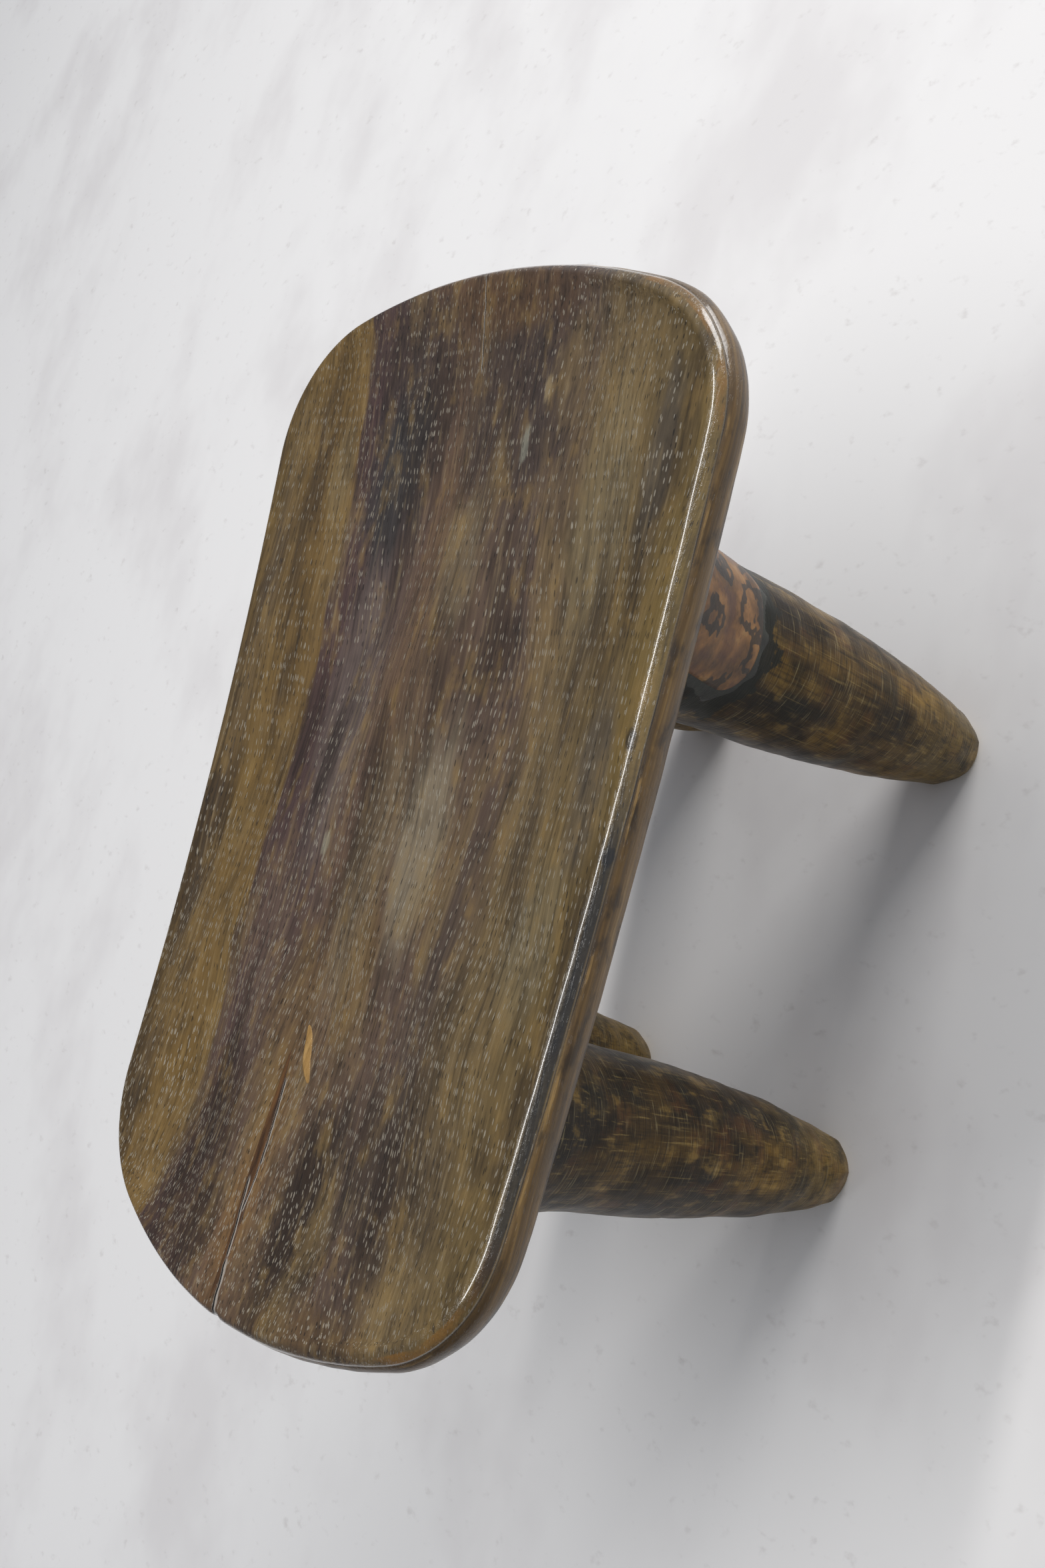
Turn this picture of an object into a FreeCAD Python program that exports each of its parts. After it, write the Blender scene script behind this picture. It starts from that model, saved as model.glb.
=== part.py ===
import FreeCAD, Part
import math
import os
import Sketcher
from FreeCAD import Placement, Rotation, Vector

# A four-legged wooden headrest: a long dished seat with rounded corners, carried on four
# tapering round legs that are let into its underside. It stands on its feet with +Z up,
# +X towards the wider end and the origin on the floor below the middle of the seat.

DIMENSIONS = {
    # seat plan: centres and radius of the round corners; the narrower end is cut a little askew
    "seat_length": 388.0,
    "wide_corner_x": 128.5,
    "wide_corner_y": 61.3,
    "narrow_left_x": -124.5,
    "narrow_right_x": -127.5,
    "narrow_corner_y": 53.3,
    "corner_radius": 56.0,
    # seat in side view: lowest point of the rim, and how far the rim rises at both ends
    "rim_level": 260.0,
    "rim_rise": 8.2,
    "rim_thickness": 14.2,
    "blank_thickness": 70.0,
    # the carved hollow and the swelling of the underside
    "lip_width": 5.0,
    "dish_depth": 5.0,
    "belly_depth": 5.0,
    "rim_round": 3.0,
    # legs: distance up the leg and radius of each round section
    "foot_station": 0.0,
    "foot_radius": 10.0,
    "toe_station": 4.0,
    "toe_radius": 14.5,
    "ankle_station": 11.0,
    "ankle_radius": 17.2,
    "shin_station": 30.0,
    "shin_radius": 20.4,
    "calf_station": 70.0,
    "calf_radius": 25.6,
    "knee_station": 130.0,
    "knee_radius": 29.8,
    "thigh_station": 190.0,
    "thigh_radius": 31.4,
    "flare_station": 226.0,
    "flare_radius": 36.0,
    "root_station": 252.5,
    "root_radius": 41.0,
    "foot_trim": 1.5,
    # round tenons that enter blind sockets in the underside
    "tenon_radius": 17.0,
    "tenon_depth": 7.0,
    # patch let into the outer face of one leg at its root, and its resin bed
    "patch_half_width": 24.0,
    "patch_length": 56.5,
    "patch_corner": 11.0,
    "patch_seat": 19.5,
    "patch_turn": 9.0,
    "resin_width": 3.5,
    "resin_bed": 1.5,
    # stopping in the end crack, and the sliver of wood glued in beside it
    "filler_length": 104.0,
    "filler_width": 5.0,
    "filler_depth": 7.0,
    "filler_x": -146.0,
    "filler_y": 15.0,
    "filler_heading": 4.0,
    "sliver_length": 23.0,
    "sliver_width": 4.6,
    "sliver_depth": 4.0,
    "sliver_x": -98.0,
    "sliver_y": 5.0,
    "sliver_heading": 28.0,
}

# foot and root of each leg on the floor plan: foot x, foot y, root x, root y
LEG_STANCES = {
    "leg_wide_right": (85.7, -63.1, 78.0, -60.6),
    "leg_wide_left": (97.0, 74.0, 83.0, 59.0),
    "leg_narrow_right": (-109.0, -46.4, -98.2, -52.3),
    "leg_narrow_left": (-90.0, 75.0, -90.6, 53.0),
}
LEG_SECTIONS = ("foot", "toe", "ankle", "shin", "calf", "knee", "thigh", "flare", "root")
PATCHED_LEG = "leg_wide_right"

# the hollow fades in with the sixth power of the distance from the middle, the belly
# with the fourth
DISH_POWER = 6
BELLY_POWER = 4
GRID_ALONG = 33
GRID_ACROSS = 25
# the carving tools run this far past the outline
OVERSHOOT = 12.0
# a face is upright, and an edge level, when its direction's Z is below these
UPRIGHT_LIMIT = 0.01
LEVEL_LIMIT = 0.5

doc = FreeCAD.newDocument("Headrest")


def make_sheet():
    """Write every driving dimension into a spreadsheet cell with an alias."""
    sheet = doc.addObject("Spreadsheet::Sheet", "Dimensions")
    for row, (alias, value) in enumerate(DIMENSIONS.items(), start=1):
        sheet.set(f"A{row}", alias)
        sheet.set(f"B{row}", str(value))
        sheet.setAlias(f"B{row}", alias)
    doc.recompute()
    return sheet


sheet = make_sheet()
half_length = sheet.seat_length / 2


# ---------------------------------------------------------------- helpers

def origin_plane(body, role):
    """Return the origin plane of a body by its role, such as XY_Plane."""
    return next(item for item in body.Origin.OriginFeatures if item.Role == role)


def plane_sketch(body, name, role):
    """Add a sketch that lies on one of the body's own origin planes."""
    sketch = body.newObject("Sketcher::SketchObject", name)
    sketch.AttachmentSupport = (origin_plane(body, role), [""])
    sketch.MapMode = "FlatFace"
    return sketch


def bind(sketch, kind, geometry, name, expression, value):
    """Add a named dimension to a sketch and drive it from the spreadsheet."""
    index = sketch.addConstraint(Sketcher.Constraint(kind, *geometry, value))
    sketch.renameConstraint(index, name)
    sketch.setExpression(f"Constraints.{name}", expression)


def arc(centre_x, centre_y, radius, start, end):
    """Return an arc of a circle between two angles, drawn anticlockwise."""
    circle = Part.Circle(Vector(centre_x, centre_y, 0), Vector(0, 0, 1), radius)
    return Part.ArcOfCircle(circle, start, end)


def symmetric_pad(body, sketch, name, expression):
    """Pad a sketch evenly to both sides of its plane."""
    pad = body.newObject("PartDesign::Pad", name)
    pad.Profile = sketch
    pad.Midplane = True
    pad.setExpression("Length", expression)
    return pad


def boolean(kind, name, base, tools):
    """Cut or intersect an object with others, one after another."""
    result = base
    for number, tool in enumerate(tools, start=1):
        last = number == len(tools)
        step = doc.addObject(kind, name if last else f"{name}_step_{number}")
        step.Base = result
        step.Tool = tool
        result = step
    result.Label = name
    return result


# ---------------------------------------------------------------- seat surfaces

def end_bow(corner_x, corner_y):
    """Return the radius of the end bow that touches a corner, and the angle where they meet."""
    reach = half_length - abs(corner_x)
    radius = sheet.corner_radius
    bow = (reach ** 2 + corner_y ** 2 - radius ** 2) / (2 * (reach - radius))
    return bow, math.atan2(corner_y, abs(corner_x) - half_length + bow)


def half_width(along, across):
    """Return the seat's width from its long axis to the side that a place belongs to."""
    wide = sheet.wide_corner_y + sheet.corner_radius
    narrow = sheet.narrow_corner_y + sheet.corner_radius
    narrow_x = sheet.narrow_left_x if across > 0 else sheet.narrow_right_x
    share = (along - narrow_x) / (sheet.wide_corner_x - narrow_x)
    return narrow + (wide - narrow) * share


def rim_height(along):
    """Return the height of the rim, which rises towards both ends."""
    return sheet.rim_level + sheet.rim_rise * (along / half_length) ** 2


def bowl(along, across, margin, power):
    """Return 1 in the middle of the seat, 0 on its margin and less beyond."""
    length_share = abs(along) / (half_length - margin)
    width_share = abs(across) / (half_width(along, across) - margin)
    return 1 - length_share ** power - width_share ** power


def skin(height_at):
    """Return a smooth face over the whole seat whose height is a function of place."""
    reach_x = half_length + OVERSHOOT
    reach_y = half_width(half_length, 0) + OVERSHOOT
    rows = []
    for i in range(GRID_ALONG):
        along = reach_x * (2 * i / (GRID_ALONG - 1) - 1)
        row = []
        for j in range(GRID_ACROSS):
            across = reach_y * (2 * j / (GRID_ACROSS - 1) - 1)
            row.append(Vector(along, across, height_at(along, across)))
        rows.append(row)
    surface = Part.BSplineSurface()
    surface.interpolate(rows)
    return surface.toShape()


def dish_height(along, across):
    """Return the height of the carved hollow."""
    return rim_height(along) - sheet.dish_depth * bowl(along, across, sheet.lip_width, DISH_POWER)


def belly_height(along, across):
    """Return the height of the underside."""
    drop = sheet.rim_thickness + sheet.belly_depth * bowl(along, across, 0, BELLY_POWER)
    return rim_height(along) - drop


def waste(name, face, direction):
    """Return the wood that is carved away on one side of a skin."""
    feature = doc.addObject("Part::Feature", name)
    feature.Shape = face.extrude(Vector(0, 0, direction * sheet.blank_thickness))
    return feature


# ---------------------------------------------------------------- seat

def seat_blank():
    """Return the plank: its plan outline, padded and hollowed along its length."""
    body = doc.addObject("PartDesign::Body", "seat_blank")
    body.setExpression("Placement.Base.z", "Dimensions.rim_level")
    symmetric_pad(body, seat_plan(body), "plank", "Dimensions.blank_thickness")
    saddle_pocket(body)
    doc.recompute()
    round_rim(body)
    doc.recompute()
    return body


def seat_plan(body):
    """Draw the seat's outline: straight sides, round corners and bowed ends."""
    plan = plane_sketch(body, "seat_plan", "XY_Plane")
    radius = sheet.corner_radius
    wide_x, wide_y = sheet.wide_corner_x, sheet.wide_corner_y
    left_x, right_x, narrow_y = sheet.narrow_left_x, sheet.narrow_right_x, sheet.narrow_corner_y
    wide_bow, wide_turn = end_bow(wide_x, wide_y)
    left_bow, left_turn = end_bow(left_x, narrow_y)
    right_bow, right_turn = end_bow(right_x, narrow_y)
    left_side = math.pi / 2 + math.atan2(wide_y - narrow_y, wide_x - left_x)
    right_side = math.pi / 2 + math.atan2(wide_y - narrow_y, wide_x - right_x)

    def on_corner(corner_x, corner_y, angle):
        return Vector(corner_x + radius * math.cos(angle), corner_y + radius * math.sin(angle), 0)

    plan.addGeometry([
        arc(half_length - wide_bow, 0, wide_bow, -wide_turn, wide_turn),
        arc(wide_x, wide_y, radius, wide_turn, left_side),
        Part.LineSegment(on_corner(wide_x, wide_y, left_side), on_corner(left_x, narrow_y, left_side)),
        arc(left_x, narrow_y, radius, left_side, math.pi - left_turn),
        arc(left_bow - half_length, 0, left_bow, math.pi - left_turn, math.pi),
        arc(right_bow - half_length, 0, right_bow, math.pi, math.pi + right_turn),
        arc(right_x, -narrow_y, radius, math.pi + right_turn, 2 * math.pi - right_side),
        Part.LineSegment(
            on_corner(right_x, -narrow_y, -right_side), on_corner(wide_x, -wide_y, -right_side)
        ),
        arc(wide_x, -wide_y, radius, -right_side, -wide_turn),
    ])
    for edge in range(9):
        plan.addConstraint(Sketcher.Constraint("Tangent", edge, 2, (edge + 1) % 9, 1))
    plan.addConstraint(Sketcher.Constraint("PointOnObject", 4, 3, -1))
    for edge, name, alias_x, alias_y, sign in (
        (1, "wide_left", "wide_corner_x", "wide_corner_y", 1),
        (3, "narrow_left", "narrow_left_x", "narrow_corner_y", 1),
        (6, "narrow_right", "narrow_right_x", "narrow_corner_y", -1),
        (8, "wide_right", "wide_corner_x", "wide_corner_y", -1),
    ):
        corner_x, corner_y = getattr(sheet, alias_x), sign * getattr(sheet, alias_y)
        bind(plan, "DistanceX", (-1, 1, edge, 3), f"{name}_x", f"Dimensions.{alias_x}", corner_x)
        bind(plan, "DistanceY", (-1, 1, edge, 3), f"{name}_y",
             f"{sign} * Dimensions.{alias_y}", corner_y)
        bind(plan, "Radius", (edge,), f"{name}_radius", "Dimensions.corner_radius", radius)
    for edge, alias_x, alias_y, value in (
        (0, "wide_corner_x", "wide_corner_y", wide_bow),
        (4, "narrow_left_x", "narrow_corner_y", left_bow),
        (5, "narrow_right_x", "narrow_corner_y", right_bow),
    ):
        reach = f"(Dimensions.seat_length / 2 - abs(Dimensions.{alias_x}))"
        squares = f"({reach}^2 + Dimensions.{alias_y}^2 - Dimensions.corner_radius^2)"
        bow = f"{squares} / (2 * ({reach} - Dimensions.corner_radius))"
        bind(plan, "Radius", (edge,), f"bow_{edge}", bow, value)
    return plan


def saddle_pocket(body):
    """Cut the long hollow of the seat's side view out of the plank."""
    profile = plane_sketch(body, "saddle_profile", "XZ_Plane")
    top = sheet.blank_thickness
    radius = (half_length ** 2 + sheet.rim_rise ** 2) / (2 * sheet.rim_rise)
    reach = half_length + OVERSHOOT
    sweep = math.asin(reach / radius)
    low = radius - radius * math.cos(sweep)
    profile.addGeometry([
        arc(0, radius, radius, 1.5 * math.pi - sweep, 1.5 * math.pi + sweep),
        Part.LineSegment(Vector(reach, low, 0), Vector(reach, top, 0)),
        Part.LineSegment(Vector(reach, top, 0), Vector(-reach, top, 0)),
        Part.LineSegment(Vector(-reach, top, 0), Vector(-reach, low, 0)),
    ])
    for edge in range(4):
        profile.addConstraint(Sketcher.Constraint("Coincident", edge, 2, (edge + 1) % 4, 1))
    profile.addConstraint(Sketcher.Constraint("Vertical", 1))
    profile.addConstraint(Sketcher.Constraint("Horizontal", 2))
    profile.addConstraint(Sketcher.Constraint("Vertical", 3))
    profile.addConstraint(Sketcher.Constraint("PointOnObject", 0, 3, -2))
    rise = "Dimensions.rim_rise"
    half = "Dimensions.seat_length / 2"
    bind(profile, "Radius", (0,), "saddle_radius", f"(({half})^2 + {rise}^2) / (2 * {rise})", radius)
    bind(profile, "DistanceY", (-1, 1, 0, 3), "saddle_centre",
         f"(({half})^2 + {rise}^2) / (2 * {rise})", radius)
    bind(profile, "DistanceX", (-1, 1, 1, 1), "saddle_reach", f"{half} + {OVERSHOOT}", reach)
    bind(profile, "DistanceX", (3, 1, -1, 1), "saddle_back", f"{half} + {OVERSHOOT}", reach)
    bind(profile, "DistanceY", (-1, 1, 1, 2), "saddle_top", "Dimensions.blank_thickness", top)
    pocket = body.newObject("PartDesign::Pocket", "saddle")
    pocket.Profile = profile
    pocket.Midplane = True
    pocket.Type = "Length"
    pocket.setExpression("Length", "Dimensions.seat_length")


def socket(name, root_x, root_y):
    """Return the round socket that a tenon enters from below."""
    hole = doc.addObject("Part::Cylinder", f"{name}_socket")
    hole.setExpression("Radius", "Dimensions.tenon_radius")
    floor = belly_height(root_x, root_y) + sheet.tenon_depth
    hole.Height = sheet.blank_thickness
    hole.Placement.Base = Vector(root_x, root_y, floor - sheet.blank_thickness)
    return hole


def spindle(name):
    """Return a block with the plan of a spindle, pointed at both ends."""
    body = doc.addObject("PartDesign::Body", f"{name}_block")
    plan = plane_sketch(body, f"{name}_plan", "XY_Plane")
    length = getattr(sheet, f"{name}_length")
    width = getattr(sheet, f"{name}_width")
    radius = (length ** 2 + width ** 2) / (4 * width)
    sweep = math.asin(length / 2 / radius)
    offset = radius - width / 2
    plan.addGeometry([
        arc(0, -offset, radius, math.pi / 2 - sweep, math.pi / 2 + sweep),
        arc(0, offset, radius, 1.5 * math.pi - sweep, 1.5 * math.pi + sweep),
    ])
    plan.addConstraint(Sketcher.Constraint("Coincident", 0, 2, 1, 1))
    plan.addConstraint(Sketcher.Constraint("Coincident", 1, 2, 0, 1))
    plan.addConstraint(Sketcher.Constraint("PointOnObject", 0, 3, -2))
    plan.addConstraint(Sketcher.Constraint("PointOnObject", 1, 3, -2))
    bow = f"(Dimensions.{name}_length^2 + Dimensions.{name}_width^2) / (4 * Dimensions.{name}_width)"
    bind(plan, "Radius", (0,), "left_bow", bow, radius)
    bind(plan, "Radius", (1,), "right_bow", bow, radius)
    bind(plan, "DistanceX", (1, 1, 1, 2), "reach", f"Dimensions.{name}_length", length)
    plan.addConstraint(Sketcher.Constraint("PointOnObject", 0, 1, -1))
    symmetric_pad(body, plan, f"{name}_pad", f"2 * Dimensions.{name}_depth")
    along = getattr(sheet, f"{name}_x")
    across = getattr(sheet, f"{name}_y")
    level = dish_height(along, across)
    turn = Rotation(Vector(0, 0, 1), getattr(sheet, f"{name}_heading"))
    body.Placement = Placement(Vector(along, across, level), turn)
    return body


def is_upright(face):
    """Tell whether a face stands upright, as the sides of the plank do."""
    u_min, u_max, v_min, v_max = face.ParameterRange
    return abs(face.normalAt((u_min + u_max) / 2, (v_min + v_max) / 2).z) < UPRIGHT_LIMIT


def round_rim(body):
    """Round the top of the plank's sides, which becomes the rolled rim."""
    sides = {edge.hashCode() for face in filter(is_upright, body.Shape.Faces) for edge in face.Edges}
    rim = []
    for number, edge in enumerate(body.Shape.Edges, start=1):
        middle = (edge.FirstParameter + edge.LastParameter) / 2
        level = abs(edge.tangentAt(middle).z) < LEVEL_LIMIT
        high = edge.valueAt(middle).z > sheet.rim_level - sheet.rim_thickness
        if edge.hashCode() in sides and level and high:
            rim.append(f"Edge{number}")
    hollowed = body.Tip
    fillet = body.newObject("PartDesign::Fillet", "rim_rounding")
    fillet.Base = (hollowed, rim)
    fillet.setExpression("Radius", "Dimensions.rim_round")


# ---------------------------------------------------------------- legs

def leg_blank(name, stance):
    """Return a tapering round leg, lofted through its sections and set on its stance."""
    foot_x, foot_y, root_x, root_y = stance
    body = doc.addObject("PartDesign::Body", f"{name}_blank")
    sections = []
    for section in LEG_SECTIONS:
        sketch = plane_sketch(body, f"{name}_{section}", "XY_Plane")
        sketch.setExpression("AttachmentOffset.Base.z", f"Dimensions.{section}_station")
        radius = getattr(sheet, f"{section}_radius")
        sketch.addGeometry(Part.Circle(Vector(0, 0, 0), Vector(0, 0, 1), radius))
        sketch.addConstraint(Sketcher.Constraint("Coincident", 0, 3, -1, 1))
        bind(sketch, "Radius", (0,), "section_radius", f"Dimensions.{section}_radius", radius)
        sections.append(sketch)
    loft = body.newObject("PartDesign::AdditiveLoft", f"{name}_loft")
    loft.Profile = sections[0]
    loft.Sections = sections[1:]
    foot = Vector(foot_x, foot_y, 0)
    axis = Vector(root_x, root_y, sheet.rim_level) - foot
    axis.normalize()
    body.Placement = Placement(foot - axis * sheet.foot_trim, Rotation(Vector(0, 0, 1), axis))
    return body


def floor_block():
    """Return the space below the floor, which trims every foot flat."""
    block = doc.addObject("Part::Box", "floor_block")
    block.setExpression("Length", "Dimensions.seat_length")
    block.setExpression("Width", "Dimensions.seat_length")
    block.setExpression("Height", "Dimensions.blank_thickness")
    block.Placement.Base = Vector(-half_length, -half_length, -sheet.blank_thickness)
    return block


def patch_block(name, margin, bed):
    """Return the block whose overlap with the leg is let into the leg's outer face."""
    foot_x, foot_y, root_x, root_y = LEG_STANCES[PATCHED_LEG]
    body = doc.addObject("PartDesign::Body", name)
    profile = plane_sketch(body, f"{name}_profile", "XZ_Plane")
    half = sheet.patch_half_width + margin
    corner = sheet.patch_corner + margin
    low = -sheet.patch_length - margin
    top = sheet.rim_thickness
    side = low + corner
    profile.addGeometry([
        Part.LineSegment(Vector(half, side, 0), Vector(half, top, 0)),
        Part.LineSegment(Vector(half, top, 0), Vector(-half, top, 0)),
        Part.LineSegment(Vector(-half, top, 0), Vector(-half, side, 0)),
        arc(corner - half, side, corner, math.pi, 1.5 * math.pi),
        Part.LineSegment(Vector(corner - half, low, 0), Vector(half - corner, low, 0)),
        arc(half - corner, side, corner, 1.5 * math.pi, 2 * math.pi),
    ])
    for edge in (0, 1):
        profile.addConstraint(Sketcher.Constraint("Coincident", edge, 2, edge + 1, 1))
    for edge in (2, 3, 4, 5):
        profile.addConstraint(Sketcher.Constraint("Tangent", edge, 2, (edge + 1) % 6, 1))
    profile.addConstraint(Sketcher.Constraint("Vertical", 0))
    profile.addConstraint(Sketcher.Constraint("Horizontal", 1))
    profile.addConstraint(Sketcher.Constraint("Vertical", 2))
    profile.addConstraint(Sketcher.Constraint("Horizontal", 4))
    bind(profile, "DistanceX", (-1, 1, 0, 1), "right", f"Dimensions.patch_half_width + {margin}", half)
    bind(profile, "DistanceX", (2, 2, -1, 1), "left", f"Dimensions.patch_half_width + {margin}", half)
    bind(profile, "DistanceY", (-1, 1, 0, 2), "top", "Dimensions.rim_thickness", top)
    bind(profile, "DistanceY", (4, 1, -1, 1), "depth", f"Dimensions.patch_length + {margin}", -low)
    bind(profile, "Radius", (3,), "corner_left", f"Dimensions.patch_corner + {margin}", corner)
    bind(profile, "Radius", (5,), "corner_right", f"Dimensions.patch_corner + {margin}", corner)
    pad = body.newObject("PartDesign::Pad", f"{name}_pad")
    pad.Profile = profile
    pad.setExpression("Length", "Dimensions.blank_thickness")
    turn = Rotation(Vector(0, 0, 1), sheet.patch_turn)
    outward = turn.multVec(Vector(0, -1, 0))
    start = Vector(root_x, root_y, belly_height(root_x, root_y))
    body.Placement = Placement(start + outward * (sheet.patch_seat - bed), turn)
    return body


# ---------------------------------------------------------------- assembly

def build():
    """Build every sub-part and return the finished ones by name."""
    dish = waste("dish_waste", skin(dish_height), 1)
    under = waste("under_waste", skin(belly_height), -1)
    carved = boolean("Part::Cut", "seat_carved", seat_blank(), [dish, under])
    sockets = [socket(name, stance[2], stance[3]) for name, stance in LEG_STANCES.items()]
    fillers = {name: spindle(name) for name in ("filler", "sliver")}
    crack_filler = boolean("Part::Common", "crack_filler", carved, [fillers["filler"]])
    crack_sliver = boolean("Part::Common", "crack_sliver", carved, [fillers["sliver"]])
    seat = boolean("Part::Cut", "seat", carved, sockets + list(fillers.values()))

    floor = floor_block()
    finished = {"seat": seat, "crack_filler": crack_filler, "crack_sliver": crack_sliver}
    for name, stance in LEG_STANCES.items():
        blank = leg_blank(name, stance)
        waste_tools = [floor, seat]
        if name == PATCHED_LEG:
            leg_stock = boolean("Part::Cut", f"{name}_stock", blank, waste_tools)
            patch = patch_block("patch_block", 0, 0)
            bed = patch_block("resin_block", sheet.resin_width, sheet.resin_bed)
            finished["leg_root_patch"] = boolean("Part::Common", "leg_root_patch", leg_stock, [patch])
            whole_bed = boolean("Part::Common", "whole_bed", leg_stock, [bed])
            finished["leg_root_resin"] = boolean("Part::Cut", "leg_root_resin", whole_bed, [patch])
            finished[name] = boolean("Part::Cut", name, leg_stock, [bed])
        else:
            finished[name] = boolean("Part::Cut", name, blank, waste_tools)
    doc.recompute()
    return finished


def check(parts):
    """Stop if any object failed to build or any part isn't a sound solid."""
    for item in doc.Objects:
        if "Invalid" in item.State or "Error" in item.State:
            raise RuntimeError(f"{item.Label} failed: {item.State}")
    for name, item in parts.items():
        if item.Shape.isNull() or not item.Shape.isValid():
            raise RuntimeError(f"{name} has no sound shape")


finished_parts = build()
check(finished_parts)
os.makedirs("parts", exist_ok=True)
for part_name, part_object in finished_parts.items():
    shape = part_object.Shape
    shape.exportStep(f"parts/{part_name}.step")
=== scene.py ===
"""Looks of a carved wooden headrest: a dished seat on four tapering legs, with an old repair."""

import logging
import math
from dataclasses import dataclass, field
from enum import Enum
from typing import Any, Callable, Sequence

import bmesh
import bpy
from mathutils import Matrix, Vector, noise


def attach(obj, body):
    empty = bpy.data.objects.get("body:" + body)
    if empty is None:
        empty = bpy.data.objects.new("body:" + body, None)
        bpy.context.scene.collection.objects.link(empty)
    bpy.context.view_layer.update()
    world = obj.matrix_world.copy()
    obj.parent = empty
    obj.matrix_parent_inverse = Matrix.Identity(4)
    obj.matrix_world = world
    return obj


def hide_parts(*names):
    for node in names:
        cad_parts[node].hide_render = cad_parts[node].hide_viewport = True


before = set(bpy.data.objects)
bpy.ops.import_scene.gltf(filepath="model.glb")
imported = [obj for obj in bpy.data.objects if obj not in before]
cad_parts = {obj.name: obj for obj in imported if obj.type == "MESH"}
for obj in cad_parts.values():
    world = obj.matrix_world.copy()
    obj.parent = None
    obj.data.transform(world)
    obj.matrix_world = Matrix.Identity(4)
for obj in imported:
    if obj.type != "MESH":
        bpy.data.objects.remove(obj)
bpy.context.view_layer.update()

MM = 0.001
LOG = logging.getLogger("headrest")
# reading stored for places that lie clear of the patch, in millimetres
CLEAR_OF_PATCH = 60.0
VARNISH_ROUGHNESS = 0.09


# ---------------------------------------------------------------- shared helpers


def srgb(code: str) -> tuple[float, float, float, float]:
    """Turn an sRGB hex colour into linear RGBA.

    Args:
        code: a colour such as "#6b5229".

    Returns:
        The linear red, green, blue and an alpha of 1.
    """
    channels = [int(code[start : start + 2], 16) / 255 for start in (1, 3, 5)]
    linear = [c / 12.92 if c <= 0.04045 else ((c + 0.055) / 1.055) ** 2.4 for c in channels]
    return (*linear, 1.0)


def smooth_step(low: float, high: float, value: float) -> float:
    """Return 0 below low, 1 above high and a smooth rise between them."""
    share = min(max((value - low) / (high - low), 0.0), 1.0)
    return share * share * (3 - 2 * share)


def add_node(
    material: bpy.types.Material | bpy.types.World,
    kind: str,
    inputs: dict[Any, Any] | list[Any] | None = None,
    stops: Sequence[tuple[float, str]] = (),
    **settings: Any,
) -> bpy.types.Node:
    """Add a shader node with its settings, input values and links.

    Args:
        material: the material, or the world, that gets the node.
        kind: the node's type name without its first word, ShaderNode.
        inputs: in order, or by name or number: values, output sockets, or nodes whose first
            output is meant.
        stops: places and sRGB colours of a colour ramp.
        **settings: properties of the node.

    Returns:
        The new node.
    """
    tree = material.node_tree
    node = tree.nodes.new(f"ShaderNode{kind}")
    for name, value in settings.items():
        setattr(node, name, value)
    if stops:
        ramp = node.color_ramp
        while len(ramp.elements) < len(stops):
            ramp.elements.new(0.5)
        for element, (place, code) in zip(ramp.elements, stops):
            element.position = place
            element.color = srgb(code)
    for key, value in inputs.items() if isinstance(inputs, dict) else enumerate(inputs or ()):
        if isinstance(value, bpy.types.Node):
            value = next(socket for socket in value.outputs if socket.enabled)
        if isinstance(value, bpy.types.NodeSocket):
            tree.links.new(value, node.inputs[key])
        else:
            node.inputs[key].default_value = value
    return node


def catmull_rom(stations: Sequence[float], values: Sequence[float], place: float) -> float:
    """Return a smooth value between given ones.

    Args:
        stations: rising places at which the value is known.
        values: the value at each place.
        place: where the value is wanted.

    Returns:
        The interpolated value.
    """
    if place <= stations[0]:
        return values[0]
    if place >= stations[-1]:
        return values[-1]
    right = next(i for i, station in enumerate(stations) if station > place)
    left = right - 1
    span = stations[right] - stations[left]

    def slope(index: int) -> float:
        """Return the slope at a station from its neighbours.

        Args:
            index: the station's number.

        Returns:
            The rise from neighbour to neighbour over their distance.
        """
        before = max(index - 1, 0)
        after = min(index + 1, len(stations) - 1)
        return (values[after] - values[before]) / (stations[after] - stations[before])

    t = (place - stations[left]) / span
    t2, t3 = t * t, t * t * t
    return (
        (2 * t3 - 3 * t2 + 1) * values[left]
        + (t3 - 2 * t2 + t) * span * slope(left)
        + (3 * t2 - 2 * t3) * values[right]
        + (t3 - t2) * span * slope(right)
    )


def waver(point: Vector, size: float, seed: float) -> float:
    """Return smooth noise between about -1 and 1 with features of a given size in metres."""
    return noise.noise(point / size + Vector((seed, -seed, 2 * seed)))


def finish_piece(bm: bmesh.types.BMesh, name: str, material: bpy.types.Material) -> bpy.types.Object:
    """Turn a bmesh into a smooth-shaded object at the origin with one material.

    Args:
        bm: the finished mesh, which is freed.
        name: the piece's name.
        material: its material.

    Returns:
        The new object, linked to the scene.
    """
    bmesh.ops.recalc_face_normals(bm, faces=bm.faces)
    for face in bm.faces:
        face.smooth = True
    mesh = bpy.data.meshes.new(name)
    bm.to_mesh(mesh)
    bm.free()
    mesh.materials.append(material)
    piece = bpy.data.objects.new(name, mesh)
    bpy.context.scene.collection.objects.link(piece)
    return piece


def stand_for(piece: bpy.types.Object, node: str) -> None:
    """Let a piece replace a CAD node and ride on the root body.

    Args:
        piece: the finished piece.
        node: the CAD node that it stands for.
    """
    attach(piece, "root")
    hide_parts(node)
    LOG.info("%s: %d faces", piece.name, len(piece.data.polygons))


# ---------------------------------------------------------------- seat


class SeatSide(Enum):
    """A side of the seat's plan."""

    RIGHT = "right"
    LEFT = "left"
    NARROW = "narrow"
    WIDE = "wide"


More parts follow.
